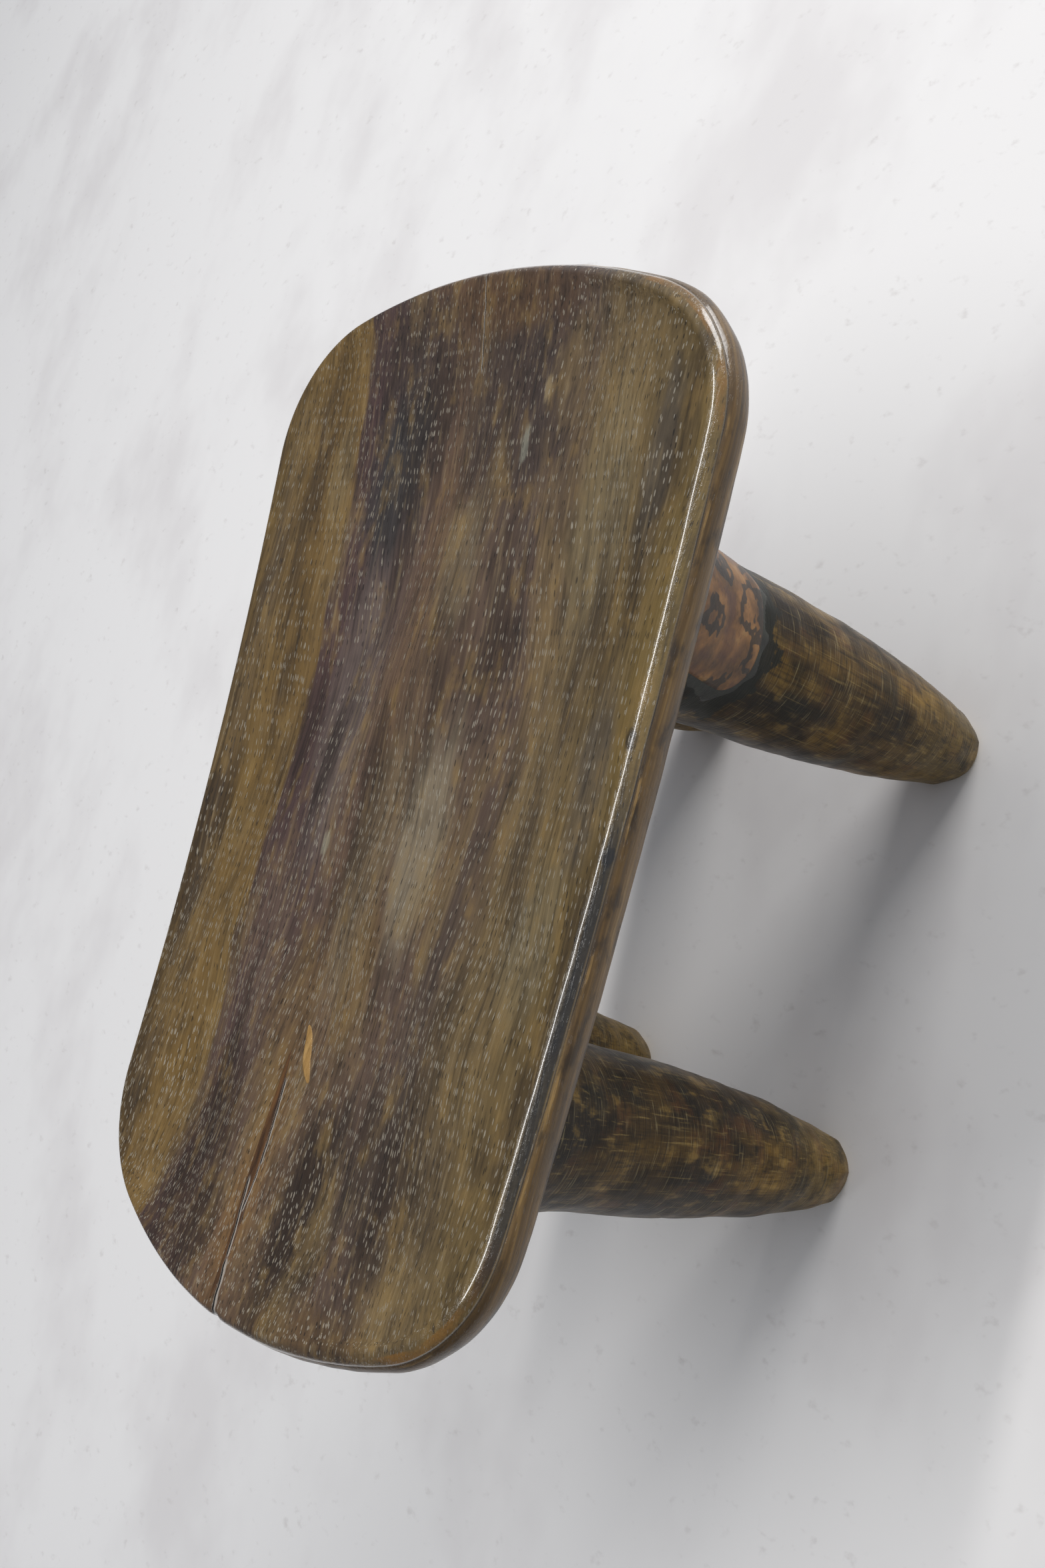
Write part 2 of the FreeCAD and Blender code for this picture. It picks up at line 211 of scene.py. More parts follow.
@dataclass(frozen=True)
class Bend:
    """One arc of the seat's plan outline, in metres and radians."""

    centre_x: float
    centre_y: float
    radius: float
    start: float
    end: float

    def length(self) -> float:
        """Return the arc's length."""
        return self.radius * (self.end - self.start)

    def at(self, share: float) -> tuple[Vector, Vector]:
        """Return the point and outward normal at a share of the arc.

        Args:
            share: how far along the arc.

        Returns:
            The point and the normal.
        """
        angle = self.start + (self.end - self.start) * share
        normal = Vector((math.cos(angle), math.sin(angle), 0))
        return Vector((self.centre_x, self.centre_y, 0)) + normal * self.radius, normal


@dataclass(frozen=True)
class Straight:
    """One straight side of the seat's plan outline."""

    first: Vector
    last: Vector

    def length(self) -> float:
        """Return the side's length."""
        return (self.last - self.first).length

    def at(self, share: float) -> tuple[Vector, Vector]:
        """Return the point and outward normal at a share of the side."""
        run = (self.last - self.first).normalized()
        return self.first.lerp(self.last, share), Vector((run.y, -run.x, 0))


@dataclass
class SeatPlan:
    """The seat's outline seen from above: straight tapering sides, round corners, bowed ends."""

    half_length: float = 194.0 * MM
    wide_x: float = 128.5 * MM
    wide_y: float = 61.3 * MM
    narrow_left_x: float = -124.5 * MM
    narrow_right_x: float = -127.5 * MM
    narrow_y: float = 53.3 * MM
    radius: float = 56.0 * MM
    runs: list[Bend | Straight] = field(default_factory=list)

    def __post_init__(self) -> None:
        """Work out the arcs and sides, anticlockwise from the middle of the wider end."""
        taper = self.wide_y - self.narrow_y
        left = math.pi / 2 + math.atan2(taper, self.wide_x - self.narrow_left_x)
        right = 1.5 * math.pi - math.atan2(taper, self.wide_x - self.narrow_right_x)
        wide_bow, wide_turn = self._bow(self.wide_x, self.wide_y)
        left_bow, left_turn = self._bow(self.narrow_left_x, self.narrow_y)
        right_bow, right_turn = self._bow(self.narrow_right_x, self.narrow_y)
        full = 2 * math.pi
        wide_end = self.half_length - wide_bow
        wide_left = Bend(self.wide_x, self.wide_y, self.radius, wide_turn, left)
        wide_right = Bend(self.wide_x, -self.wide_y, self.radius, right, full - wide_turn)
        narrow_left = Bend(
            self.narrow_left_x, self.narrow_y, self.radius, left, math.pi - left_turn
        )
        narrow_right = Bend(
            self.narrow_right_x, -self.narrow_y, self.radius, math.pi + right_turn, right
        )
        self.runs = [
            Bend(wide_end, 0, wide_bow, 0, wide_turn),
            wide_left,
            Straight(wide_left.at(1)[0], narrow_left.at(0)[0]),
            narrow_left,
            Bend(left_bow - self.half_length, 0, left_bow, math.pi - left_turn, math.pi),
            Bend(right_bow - self.half_length, 0, right_bow, math.pi, math.pi + right_turn),
            narrow_right,
            Straight(narrow_right.at(1)[0], wide_right.at(0)[0]),
            wide_right,
            Bend(wide_end, 0, wide_bow, full - wide_turn, full),
        ]

    def _bow(self, corner_x: float, corner_y: float) -> tuple[float, float]:
        """Work out the end bow that touches a corner.

        Args:
            corner_x: the corner's centre along the seat.
            corner_y: its distance from the long axis.

        Returns:
            The bow's radius and the angle at which it meets the corner.
        """
        reach = self.half_length - abs(corner_x)
        bow = (reach**2 + corner_y**2 - self.radius**2) / (2 * (reach - self.radius))
        return bow, math.atan2(corner_y, abs(corner_x) - self.half_length + bow)

    def girth(self) -> float:
        """Return the length of the whole outline."""
        return sum(run.length() for run in self.runs)

    def at(self, distance: float) -> tuple[Vector, Vector]:
        """Follow the outline for a distance.

        Args:
            distance: how far round the outline.

        Returns:
            The point there and its outward normal.
        """
        distance %= self.girth()
        for run in self.runs:
            if distance <= run.length():
                return run.at(distance / run.length())
            distance -= run.length()
        return self.runs[0].at(0)

    def corners(self) -> list[float]:
        """Find the middle of each of the four corners.

        Returns:
            Their distances round the outline.
        """
        middles = []
        travelled = 0.0
        for run in self.runs:
            if isinstance(run, Bend) and run.radius == self.radius:
                middles.append(travelled + run.length() / 2)
            travelled += run.length()
        return middles

    def half_width(self, along: float, across: float) -> float:
        """Measure from the long axis to the side that a place belongs to.

        Args:
            along: the place's X.
            across: its Y, whose sign picks the side.

        Returns:
            The width there.
        """
        wide = self.wide_y + self.radius
        narrow = self.narrow_y + self.radius
        narrow_x = self.narrow_left_x if across > 0 else self.narrow_right_x
        return narrow + (wide - narrow) * (along - narrow_x) / (self.wide_x - narrow_x)


@dataclass
class Seat:
    """The dished plank with its rolled rim, in metres."""

    plan: SeatPlan = field(default_factory=SeatPlan)
    rim_level: float = 260.0 * MM
    rim_rise: float = 8.2 * MM
    rim_thickness: float = 14.2 * MM
    lip: float = 5.0 * MM
    dish_depth: float = 5.0 * MM
    belly_depth: float = 5.0 * MM
    cells_along: int = 150
    cells_across: int = 92
    inner_inset: float = 9.6 * MM
    under_inset: float = 4.5 * MM
    under_mark: float = 20.0
    girth_samples: int = 4096
    crack_y: float = 9.5 * MM
    # inset from the outline and drop below the rim of each ring, from the top to the underside
    rings: tuple[tuple[float, float], ...] = (
        (8.0, 0.38),
        (6.8, 0.5),
        (5.7, 0.78),
        (4.7, 1.18),
        (3.8, 1.68),
        (3.1, 2.2),
        (2.6, 2.75),
        (2.2, 3.25),
        (2.45, 3.6),
        (1.9, 3.95),
        (1.2, 4.5),
        (0.5, 5.6),
        (0.12, 7.2),
        (0.0, 8.8),
        (0.2, 10.6),
        (0.6, 12.0),
        (1.0, 13.0),
        (1.8, 13.8),
        (3.0, 14.2),
    )
    waist: float = 2.2 * MM

    def rim_height(self, along: float) -> float:
        """Return the height of the rim, which rises towards both ends."""
        return self.rim_level + self.rim_rise * (along / self.plan.half_length) ** 2

    def bowl(self, along: float, across: float, margin: float, power: int) -> float:
        """Return 1 in the middle of the seat, falling to 0 on its margin.

        Args:
            along: the place's X.
            across: the place's Y.
            margin: how far the margin lies inside the outline.
            power: how square the bowl is.

        Returns:
            The share of the full depth.
        """
        length_share = abs(along) / (self.plan.half_length - margin)
        width_share = abs(across) / (self.plan.half_width(along, across) - margin)
        return max(0.0, 1 - length_share**power - width_share**power)

    def top_height(self, along: float, across: float) -> float:
        """Return the height of the carved hollow, with the slight waves that carving leaves.

        Args:
            along: the place's X.
            across: the place's Y.

        Returns:
            The height.
        """
        spot = Vector((along, across, 0))
        waves = 0.35 * waver(spot, 46 * MM, 3.1) + 0.16 * waver(spot, 17 * MM, 7.7)
        depth = self.dish_depth + waves * MM
        return self.rim_height(along) - depth * self.bowl(along, across, self.lip, 6)

    def under_height(self, along: float, across: float) -> float:
        """Return the height of the underside, with the broad flats of an adze.

        Args:
            along: the place's X.
            across: the place's Y.

        Returns:
            The height.
        """
        spot = Vector((along, across, 0))
        waves = 0.5 * waver(spot, 30 * MM, 11.3) + 0.3 * waver(spot, 12 * MM, 5.9)
        share = self.bowl(along, across, 0, 4)
        drop = self.rim_thickness + self.belly_depth * share + waves * MM * min(1, 4 * share)
        return self.rim_height(along) - drop

    def sheet(
        self, bm: bmesh.types.BMesh, inset: float, height: Callable[[float, float], float]
    ) -> list[bmesh.types.BMVert]:
        """Add a grid of faces that fills the outline at an inset.

        Args:
            bm: the mesh that gets the grid.
            inset: distance from the outline to the grid's border.
            height: the surface's height by place.

        Returns:
            The grid's vertices.
        """
        girth = self.plan.girth()
        wide_left, narrow_left, narrow_right, wide_right = self.plan.corners()
        ranges = {
            SeatSide.RIGHT: (narrow_right, wide_right),
            SeatSide.LEFT: (narrow_left, wide_left),
            SeatSide.NARROW: (narrow_right, narrow_left),
            SeatSide.WIDE: (wide_right, wide_left + girth),
        }

        def edge(start: float, end: float, share: float) -> Vector:
            """Return the border's point at a share of a stretch of the outline."""
            point, normal = self.plan.at(start + (end - start) * share)
            return point - normal * inset

        made = bmesh.ops.create_grid(
            bm, x_segments=self.cells_along, y_segments=self.cells_across, size=1
        )["verts"]
        spots = [
            edge(narrow_right, wide_right, 0),
            edge(narrow_right, wide_right, 1),
            edge(wide_left, narrow_left, 1),
            edge(wide_left, narrow_left, 0),
        ]
        cache: dict[tuple[SeatSide, float], Vector] = {}

        def border(side: SeatSide, share: float) -> Vector:
            """Return the border's point on a side, worked out once for each place.

            Args:
                side: the side of the plan.
                share: how far along it.

            Returns:
                The point.
            """
            key = (side, round(share, 5))
            if key not in cache:
                cache[key] = edge(*ranges[side], share)
            return cache[key]

        for vert in made:
            u = (vert.co.x + 1) / 2
            v = (vert.co.y + 1) / 2
            place = (
                border(SeatSide.RIGHT, u) * (1 - v)
                + border(SeatSide.LEFT, u) * v
                + border(SeatSide.NARROW, v) * (1 - u)
                + border(SeatSide.WIDE, v) * u
                - spots[0] * (1 - u) * (1 - v)
                - spots[1] * u * (1 - v)
                - spots[2] * (1 - u) * v
                - spots[3] * u * v
            )
            vert.co = Vector((place.x, place.y, height(place.x, place.y)))
        return made

    def nearest_girth(self, samples: list[tuple[float, Vector]], place: Vector) -> float:
        """Return the distance round the outline of the sample nearest to a place."""
        return min(samples, key=lambda sample: (sample[1] - place).length_squared)[0]

    def ring_place(self, distance: float, inset: float, drop: float) -> Vector:
        """Return a point of a rim ring, with the dents and the end crack's notch.

        Args:
            distance: distance round the outline.
            inset: distance in from the outline.
            drop: distance below the rim.

        Returns:
            The ring's point in the row frame.
        """
        point, normal = self.plan.at(distance)
        tight = 1 - 0.6 * smooth_step(-0.5, 0.3, normal.y)
        if inset > self.waist and drop < 3.3 * MM:
            inset = self.waist * tight + (inset - self.waist) * tight
        elif drop < 5 * MM:
            inset *= tight
        spot = point - normal * inset
        level = self.rim_height(spot.x) - drop
        side = smooth_step(1.5 * MM, 5 * MM, drop) * smooth_step(15 * MM, 12 * MM, drop)
        here = Vector((point.x, point.y, level))
        dent = 0.22 * waver(here, 9 * MM, 2.3) + 0.3 * waver(here, 24 * MM, 9.1) - 0.3
        notch = math.exp(-(((point.y - self.crack_y) / (1.6 * MM)) ** 2)) * (point.x < 0)
        spot = spot + normal * (side * dent * MM - notch * 1.1 * MM)
        crest = (1 - side) * 0.16 * waver(here, 13 * MM, 4.4) * smooth_step(0.4 * MM, 2 * MM, drop)
        return Vector((spot.x, spot.y, level + crest * MM))

    def build(self, material: bpy.types.Material) -> bpy.types.Object:
        """Build the seat's mesh and dress it.

        Args:
            material: the seat's wood.

        Returns:
            The seat.
        """
        bm = bmesh.new()
        self.sheet(bm, self.inner_inset, self.top_height)
        girth = self.plan.girth()
        loop = [edge for edge in bm.edges if edge.is_boundary]
        steps = (girth * step / self.girth_samples for step in range(self.girth_samples))
        samples = [(distance, self._inset_point(distance)) for distance in steps]
        around = bm.verts.layers.float.new("around")
        below = bm.verts.layers.float.new("below_rim")
        for vert in {v for edge in loop for v in edge.verts}:
            vert[around] = self.nearest_girth(samples, Vector((vert.co.x, vert.co.y, 0)))
        for inset, drop in self.rings:
            grown = bmesh.ops.extrude_edge_only(bm, edges=loop)["geom"]
            loop = [item for item in grown if isinstance(item, bmesh.types.BMEdge)]
            for vert in {item for item in grown if isinstance(item, bmesh.types.BMVert)}:
                vert.co = self.ring_place(vert[around], inset * MM, drop * MM)
                vert[below] = drop
        grown = bmesh.ops.extrude_edge_only(bm, edges=loop)["geom"]
        for vert in {item for item in grown if isinstance(item, bmesh.types.BMVert)}:
            point, normal = self.plan.at(vert[around])
            spot = point - normal * self.under_inset
            vert.co = Vector((spot.x, spot.y, self.under_height(spot.x, spot.y)))
            vert[below] = self.under_mark
        for vert in self.sheet(bm, self.under_inset, self.under_height):
            vert[below] = self.under_mark
        bmesh.ops.remove_doubles(bm, verts=bm.verts, dist=0.25 * MM)
        return finish_piece(bm, "seat_carved", material)

    def _inset_point(self, distance: float) -> Vector:
        """Return the outline's point at the top grid's border."""
        point, normal = self.plan.at(distance)
        return point - normal * self.inner_inset


# ---------------------------------------------------------------- legs


@dataclass
class Leg:
    """One tapering round leg, hewn with an adze, from its flat foot up into the seat."""

    name: str
    foot: tuple[float, float]
    root: tuple[float, float]
    seed: float
    root_level: float = 260.0 * MM
    facets: int = 112
    stations: tuple[float, ...] = (0, 1.2, 4, 11, 30, 70, 130, 190, 226, 252)
    radii: tuple[float, ...] = (12.6, 13.9, 15.5, 17.8, 20.6, 25.6, 29.8, 31.4, 36, 41)
    toe_sides: int = 7
    top_station: float = 249.0
    ring_gap: float = 2.2

    def axis(self) -> Vector:
        """Return the unit vector up the leg."""
        return (Vector((*self.root, self.root_level)) - Vector((*self.foot, 0))).normalized()

    def surface(self, angle: float, station: float, proud: float = 0.0) -> Vector:
        """Return a point on the leg's skin.

        Args:
            angle: direction round the leg, 0 along +X and a quarter turn along +Y.
            station: distance up the leg from the floor, in millimetres.
            proud: distance out from the skin, in millimetres.

        Returns:
            The point in the row frame.
        """
        along = self.axis()
        ahead = Vector((0, 1, 0)).cross(along).normalized()
        aside = along.cross(ahead)
        out = ahead * math.cos(angle) + aside * math.sin(angle)
        radius = catmull_rom(self.stations, self.radii, station)
        here = Vector((*self.foot, 0)) + along * station * MM + out * radius * MM
        worn = smooth_step(0, 12, station)
        hewn = 0.55 * waver(here, 26 * MM, self.seed) + 0.28 * waver(here, 10 * MM, self.seed + 4)
        oval = 0.5 * math.cos(2 * angle + self.seed) * worn
        side = 2 * math.pi / self.toe_sides
        flat = math.cos(side / 2) / math.cos((angle + self.seed) % side - side / 2)
        hewn += radius * (flat - 0.96) * smooth_step(26, 3, station) / max(worn, 0.3) * 0.8
        return here + out * (hewn * worn - 0.5 * worn + oval * 0.6 + proud) * MM

    def build(self, material: bpy.types.Material, panel: "Panel | None") -> bpy.types.Object:
        """Build the leg ring by ring from its foot.

        Args:
            material: the leg's wood.
            panel: the patch let into this leg, which leaves a stain round it.

        Returns:
            The leg.
        """
        bm = bmesh.new()
        bmesh.ops.create_circle(bm, cap_ends=True, segments=self.facets, radius=1)
        angle_of = bm.verts.layers.float.new("angle")
        for vert in bm.verts:
            vert[angle_of] = math.atan2(vert.co.y, vert.co.x)
            vert.co = self._on_floor(self.surface(vert[angle_of], 0))
        bmesh.ops.inset_region(bm, faces=bm.faces, thickness=2.5 * MM, use_even_offset=True)
        loop = [edge for edge in bm.edges if edge.is_boundary]
        stations = [0.5, 1.1, 1.8, 2.6, 3.6]
        while stations[-1] + self.ring_gap < self.top_station:
            stations.append(stations[-1] + self.ring_gap)
        stations.append(self.top_station)
        for station in stations:
            grown = bmesh.ops.extrude_edge_only(bm, edges=loop)["geom"]
            loop = [item for item in grown if isinstance(item, bmesh.types.BMEdge)]
            for vert in {item for item in grown if isinstance(item, bmesh.types.BMVert)}:
                vert.co = self._on_floor(self.surface(vert[angle_of], station))
        bmesh.ops.contextual_create(bm, geom=loop)
        self._mark(bm, panel)
        return finish_piece(bm, f"{self.name}_hewn", material)

    @staticmethod
    def _on_floor(place: Vector) -> Vector:
        """Return a place lifted to the floor if it lies below it."""
        return Vector((place.x, place.y, max(place.z, 0.0)))

    def _mark(self, bm: bmesh.types.BMesh, panel: "Panel | None") -> None:
        """Store each vertex's distance up the leg, and from the patch's edge, in millimetres.

        Args:
            bm: the leg's mesh.
            panel: the patch let into it, if any.
        """
        up_leg = bm.verts.layers.float.new("up_leg")
        from_patch = bm.verts.layers.float.new("from_patch")
        along = self.axis()
        foot = Vector((*self.foot, 0))
        for vert in bm.verts:
            station = (vert.co - foot).dot(along) / MM
            vert[up_leg] = station
            vert[from_patch] = panel.distance(vert.co) if panel else CLEAR_OF_PATCH


class PanelSide(Enum):
    """A side of the patch as it lies flat, with the seat at its top."""

    LEFT = "left"
    RIGHT = "right"
    TOP = "top"
    BOTTOM = "bottom"


@dataclass
class Panel:
    """A rounded panel wrapped on a leg's outer face below the seat, in millimetres."""

    leg: Leg
    margin: float
    proud: float
    edge_proud: float
    half_width: float = 24.0
    length: float = 56.5
    corner: float = 11.0
    top_station: float = 248.0
    seat_station: float = 245.0
    turn: float = math.radians(-90 + 9)
    wander: float = 0.3
    cells: tuple[int, int] = (44, 56)
    sinks: tuple[float, ...] = (-0.1, -0.8, -3.5)

    def distance(self, place: Vector) -> float:
        """Return the signed distance from the panel's edge to a place near the leg.

        Args:
            place: a point on the leg.

        Returns:
            Millimetres outside the edge, or less than 0 inside.
        """
        along = self.leg.axis()
        offset = place - Vector((*self.leg.foot, 0))
        station = offset.dot(along) / MM
        ahead = Vector((0, 1, 0)).cross(along).normalized()
        aside = along.cross(ahead)
        outward = ahead * math.cos(self.turn) + aside * math.sin(self.turn)
        across = along.cross(outward)
        if offset.dot(outward) < 0:
            return CLEAR_OF_PATCH
        x = abs(offset.dot(across) / MM) - (self.half_width + self.margin - self.corner)
        low = self.seat_station - self.length - self.margin + self.corner
        y = low - station
        return math.hypot(max(x, 0), max(y, 0)) + min(max(x, y), 0) - self.corner

    def _outline(self, side: PanelSide, share: float) -> Vector:
        """Return a point of the flat panel's edge: x across, y up the leg.

        Args:
            side: which of the four sides of the grid.
            share: how far along it.

        Returns:
            The point, in millimetres.
        """
        half = self.half_width + self.margin
        low = self.seat_station - self.length - self.margin
        corner = self.corner
        if side is PanelSide.TOP:
            return Vector((half * (2 * share - 1), self.top_station, 0))
        bend = corner * math.pi / 4
        if side is PanelSide.BOTTOM:
            flat = 2 * (half - corner)
            travel = share * (flat + 2 * bend)
            if bend <= travel <= flat + bend:
                return Vector((travel - bend - (half - corner), low, 0))
            sign = -1 if travel < bend else 1
            turned = travel if travel < bend else flat + 2 * bend - travel
            angle = math.pi / 4 * (1 + turned / bend)
        else:
            sign = 1 if side is PanelSide.RIGHT else -1
            travel = share * (bend + self.top_station - low - corner)
            if travel >= bend:
                return Vector((sign * half, low + corner + travel - bend, 0))
            angle = math.pi / 4 * (1 - travel / bend)
        across = sign * (half - corner + corner * math.cos(angle))
        return Vector((across, low + corner - corner * math.sin(angle), 0))

    def _wrap(self, flat: Vector, proud: float) -> Vector:
        """Return a flat point wrapped on the leg.

        Args:
            flat: x across and y up the leg, in millimetres.
            proud: distance out from the leg's skin.

        Returns:
            The point in the row frame.
        """
        radius = catmull_rom(self.leg.stations, self.leg.radii, flat.y)
        angle = self.turn + math.asin(max(-1, min(1, flat.x / radius)))
        return self.leg.surface(angle, flat.y, proud)

    def build(
        self, name: str, material: bpy.types.Material, ragged: float = 0.0
    ) -> bpy.types.Object:
        """Build the panel: a wrapped sheet with its edges turned into the leg.

        Args:
            name: the piece's name.
            material: its finish.
            ragged: how unevenly its face stands proud, in millimetres.

        Returns:
            The panel.
        """
        bm = bmesh.new()
        bmesh.ops.create_grid(bm, x_segments=self.cells[0], y_segments=self.cells[1], size=1)
        flat_x = bm.verts.layers.float.new("flat_x")
        flat_y = bm.verts.layers.float.new("flat_y")
        sides = (PanelSide.LEFT, PanelSide.RIGHT)
        corners = [self._outline(side, end) for end in (0, 1) for side in sides]
        for vert in bm.verts:
            u = (vert.co.x + 1) / 2
            v = (vert.co.y + 1) / 2
            flat = (
                self._outline(PanelSide.BOTTOM, u) * (1 - v)
                + self._outline(PanelSide.TOP, u) * v
                + self._outline(PanelSide.LEFT, v) * (1 - u)
                + self._outline(PanelSide.RIGHT, v) * u
                - corners[0] * (1 - u) * (1 - v)
                - corners[1] * u * (1 - v)
                - corners[2] * (1 - u) * v
                - corners[3] * u * v
            )
            rim = min(u, 1 - u, v) * 2 * self.half_width
            here = Vector((flat.x, flat.y, 0)) * MM
            flat.x += self.wander * waver(here, 8 * MM, 3.3)
            flat.y += self.wander * waver(here, 8 * MM, 8.1)
            lift = self.edge_proud + (self.proud - self.edge_proud) * smooth_step(0, 3, rim)
            lift += ragged * waver(here, 7 * MM, 1.7)
            vert[flat_x] = flat.x
            vert[flat_y] = flat.y
            vert.co = self._wrap(flat, lift)
        loop = [edge for edge in bm.edges if edge.is_boundary]
        for sink in self.sinks:
            grown = bmesh.ops.extrude_edge_only(bm, edges=loop)["geom"]
            loop = [item for item in grown if isinstance(item, bmesh.types.BMEdge)]
            for vert in {item for item in grown if isinstance(item, bmesh.types.BMVert)}:
                vert.co = self._wrap(Vector((vert[flat_x], vert[flat_y], 0)), sink)
        bmesh.ops.contextual_create(bm, geom=loop)
        return finish_piece(bm, name, material)


# ---------------------------------------------------------------- stopping and sliver


@dataclass
class Inlay:
    """A spindle-shaped filling that lies flush in the seat's top, in millimetres."""

    name: str
    x: float
    y: float
    length: float
    width: float
    heading: float
    proud: float = 0.12
    depth: float = 3.0
    cells: tuple[int, int] = (70, 8)

    def build(self, seat: Seat, material: bpy.types.Material) -> bpy.types.Object:
        """Build the inlay on the seat's carved surface.

        Args:
            seat: the seat that holds it.
            material: its finish.

        Returns:
            The inlay.
        """
        bm = bmesh.new()
        bmesh.ops.create_grid(bm, x_segments=self.cells[0], y_segments=self.cells[1], size=1)
        turn = Matrix.Rotation(math.radians(self.heading), 3, "Z")
        for vert in bm.verts:
            u, v = vert.co.x, vert.co.y
            swell = math.sqrt(max(0.0, 1 - abs(u) ** 1.6)) * 0.97 + 0.03
            sway = 0.6 * math.sin(3.1 * u + self.x)
            place = turn @ Vector((u * self.length / 2, v * self.width / 2 * swell + sway, 0))
            x = (self.x + place.x) * MM
            y = (self.y + place.y) * MM
            crown = self.proud * (1 - 0.6 * v * v) * swell
            vert.co = Vector((x, y, seat.top_height(x, y) + crown * MM))
        loop = [edge for edge in bm.edges if edge.is_boundary]
        grown = bmesh.ops.extrude_edge_only(bm, edges=loop)["geom"]
        loop = [item for item in grown if isinstance(item, bmesh.types.BMEdge)]
        for vert in {item for item in grown if isinstance(item, bmesh.types.BMVert)}:
            vert.co.z -= self.depth * MM
        bmesh.ops.contextual_create(bm, geom=loop)
        return finish_piece(bm, self.name, material)


# ---------------------------------------------------------------- finishes


@dataclass(frozen=True)
class Blotch:
    """A soft-edged patch of colour on the seat, in millimetres."""

    x: float
    y: float
    reach_x: float
    reach_y: float
    colour: str
    strength: float
    ragged: float = 0.45


@dataclass(frozen=True)
class Crack:
    """A hairline crack along the grain: two ends and its width, in millimetres."""

    start: tuple[float, float]
    end: tuple[float, float]
    width: float = 0.45


END_CRACKS = (
    Crack((-193.5, 9.8), (-172, 14.6), 1.0),
    Crack((-173, 14.4), (-144, 18.0), 0.7),
    Crack((-157, 15.6), (-139, 14.6), 0.5),
    Crack((-140, 14.4), (-108, 15.4), 0.6),
    Crack((193, 7.6), (154, 3.2), 0.3),
)


def sized_noise(
    material: bpy.types.Material,
    place: Any,
    size: tuple[float, float, float],
    detail: float = 2.0,
    seed: float = 0.0,
) -> bpy.types.Node:
    """Lay a noise whose features have a given length along each axis.

    Args:
        material: the material being made.
        place: the position it follows.
        size: the features' size along X, Y and Z, in millimetres.
        detail: how many finer layers are added.
        seed: shifts the pattern, in its own features.

    Returns:
        A node whose value lies around 0.5.
    """
    scaled = add_node(
        material,
        "Mapping",
        {
            "Vector": place,
            "Location": (seed * 7.1, seed * 3.3, seed * 5.7),
            "Scale": tuple(1 / (length * MM) for length in size),
        },
    )
    return add_node(
        material, "TexNoise", {"Vector": scaled, "Scale": 1.0, "Detail": detail, "Roughness": 0.55}
    )


def stain(
    material: bpy.types.Material,
    under: Any,
    colour: Any,
    pattern: Any,
    limits: tuple[float, float],
    strength: float,
) -> bpy.types.Node:
    """Stain a colour where a pattern passes smoothly from one limit to another.

    Args:
        material: the material being made.
        under: the colour so far, as an sRGB hex value or a node.
        colour: the stain, likewise.
        pattern: the value that decides where the stain lies, or a tuple whose product does.
        limits: where the stain starts and where it is full.
        strength: how much of the stain shows there.

    Returns:
        The stained colour's node.
    """
    masks = pattern if isinstance(pattern, tuple) else (pattern,)
    pattern = masks[0]
    for mask in masks[1:]:
        pattern = add_node(material, "Math", [pattern, mask], operation="MULTIPLY")
    amount = add_node(
        material,
        "MapRange",
        {"Value": pattern, "From Min": limits[0], "From Max": limits[1], "To Max": strength},
        interpolation_type="SMOOTHSTEP",
    )
    low, high = (srgb(tone) if isinstance(tone, str) else tone for tone in (under, colour))
    return add_node(material, "Mix", {0: amount, 6: low, 7: high}, data_type="RGBA")


def between(
    material: bpy.types.Material, value: Any, rise: tuple[float, float], fall: tuple[float, float]
) -> bpy.types.Node:
    """Return a band that rises between two values and falls between two others.

    Args:
        material: the material being made.
        value: the value that runs across the band.
        rise: where the band starts and where it is full.
        fall: where it begins to fade and where it has gone.

    Returns:
        A node whose value is 1 in the band and 0 outside it.
    """
    up = add_node(
        material,
        "MapRange",
        {"Value": value, "From Min": rise[0], "From Max": rise[1]},
        interpolation_type="SMOOTHSTEP",
    )
    down = add_node(
        material,
        "MapRange",
        {"Value": value, "From Min": fall[1], "From Max": fall[0]},
        interpolation_type="SMOOTHSTEP",
    )
    return add_node(material, "Math", [up, down], operation="MULTIPLY")


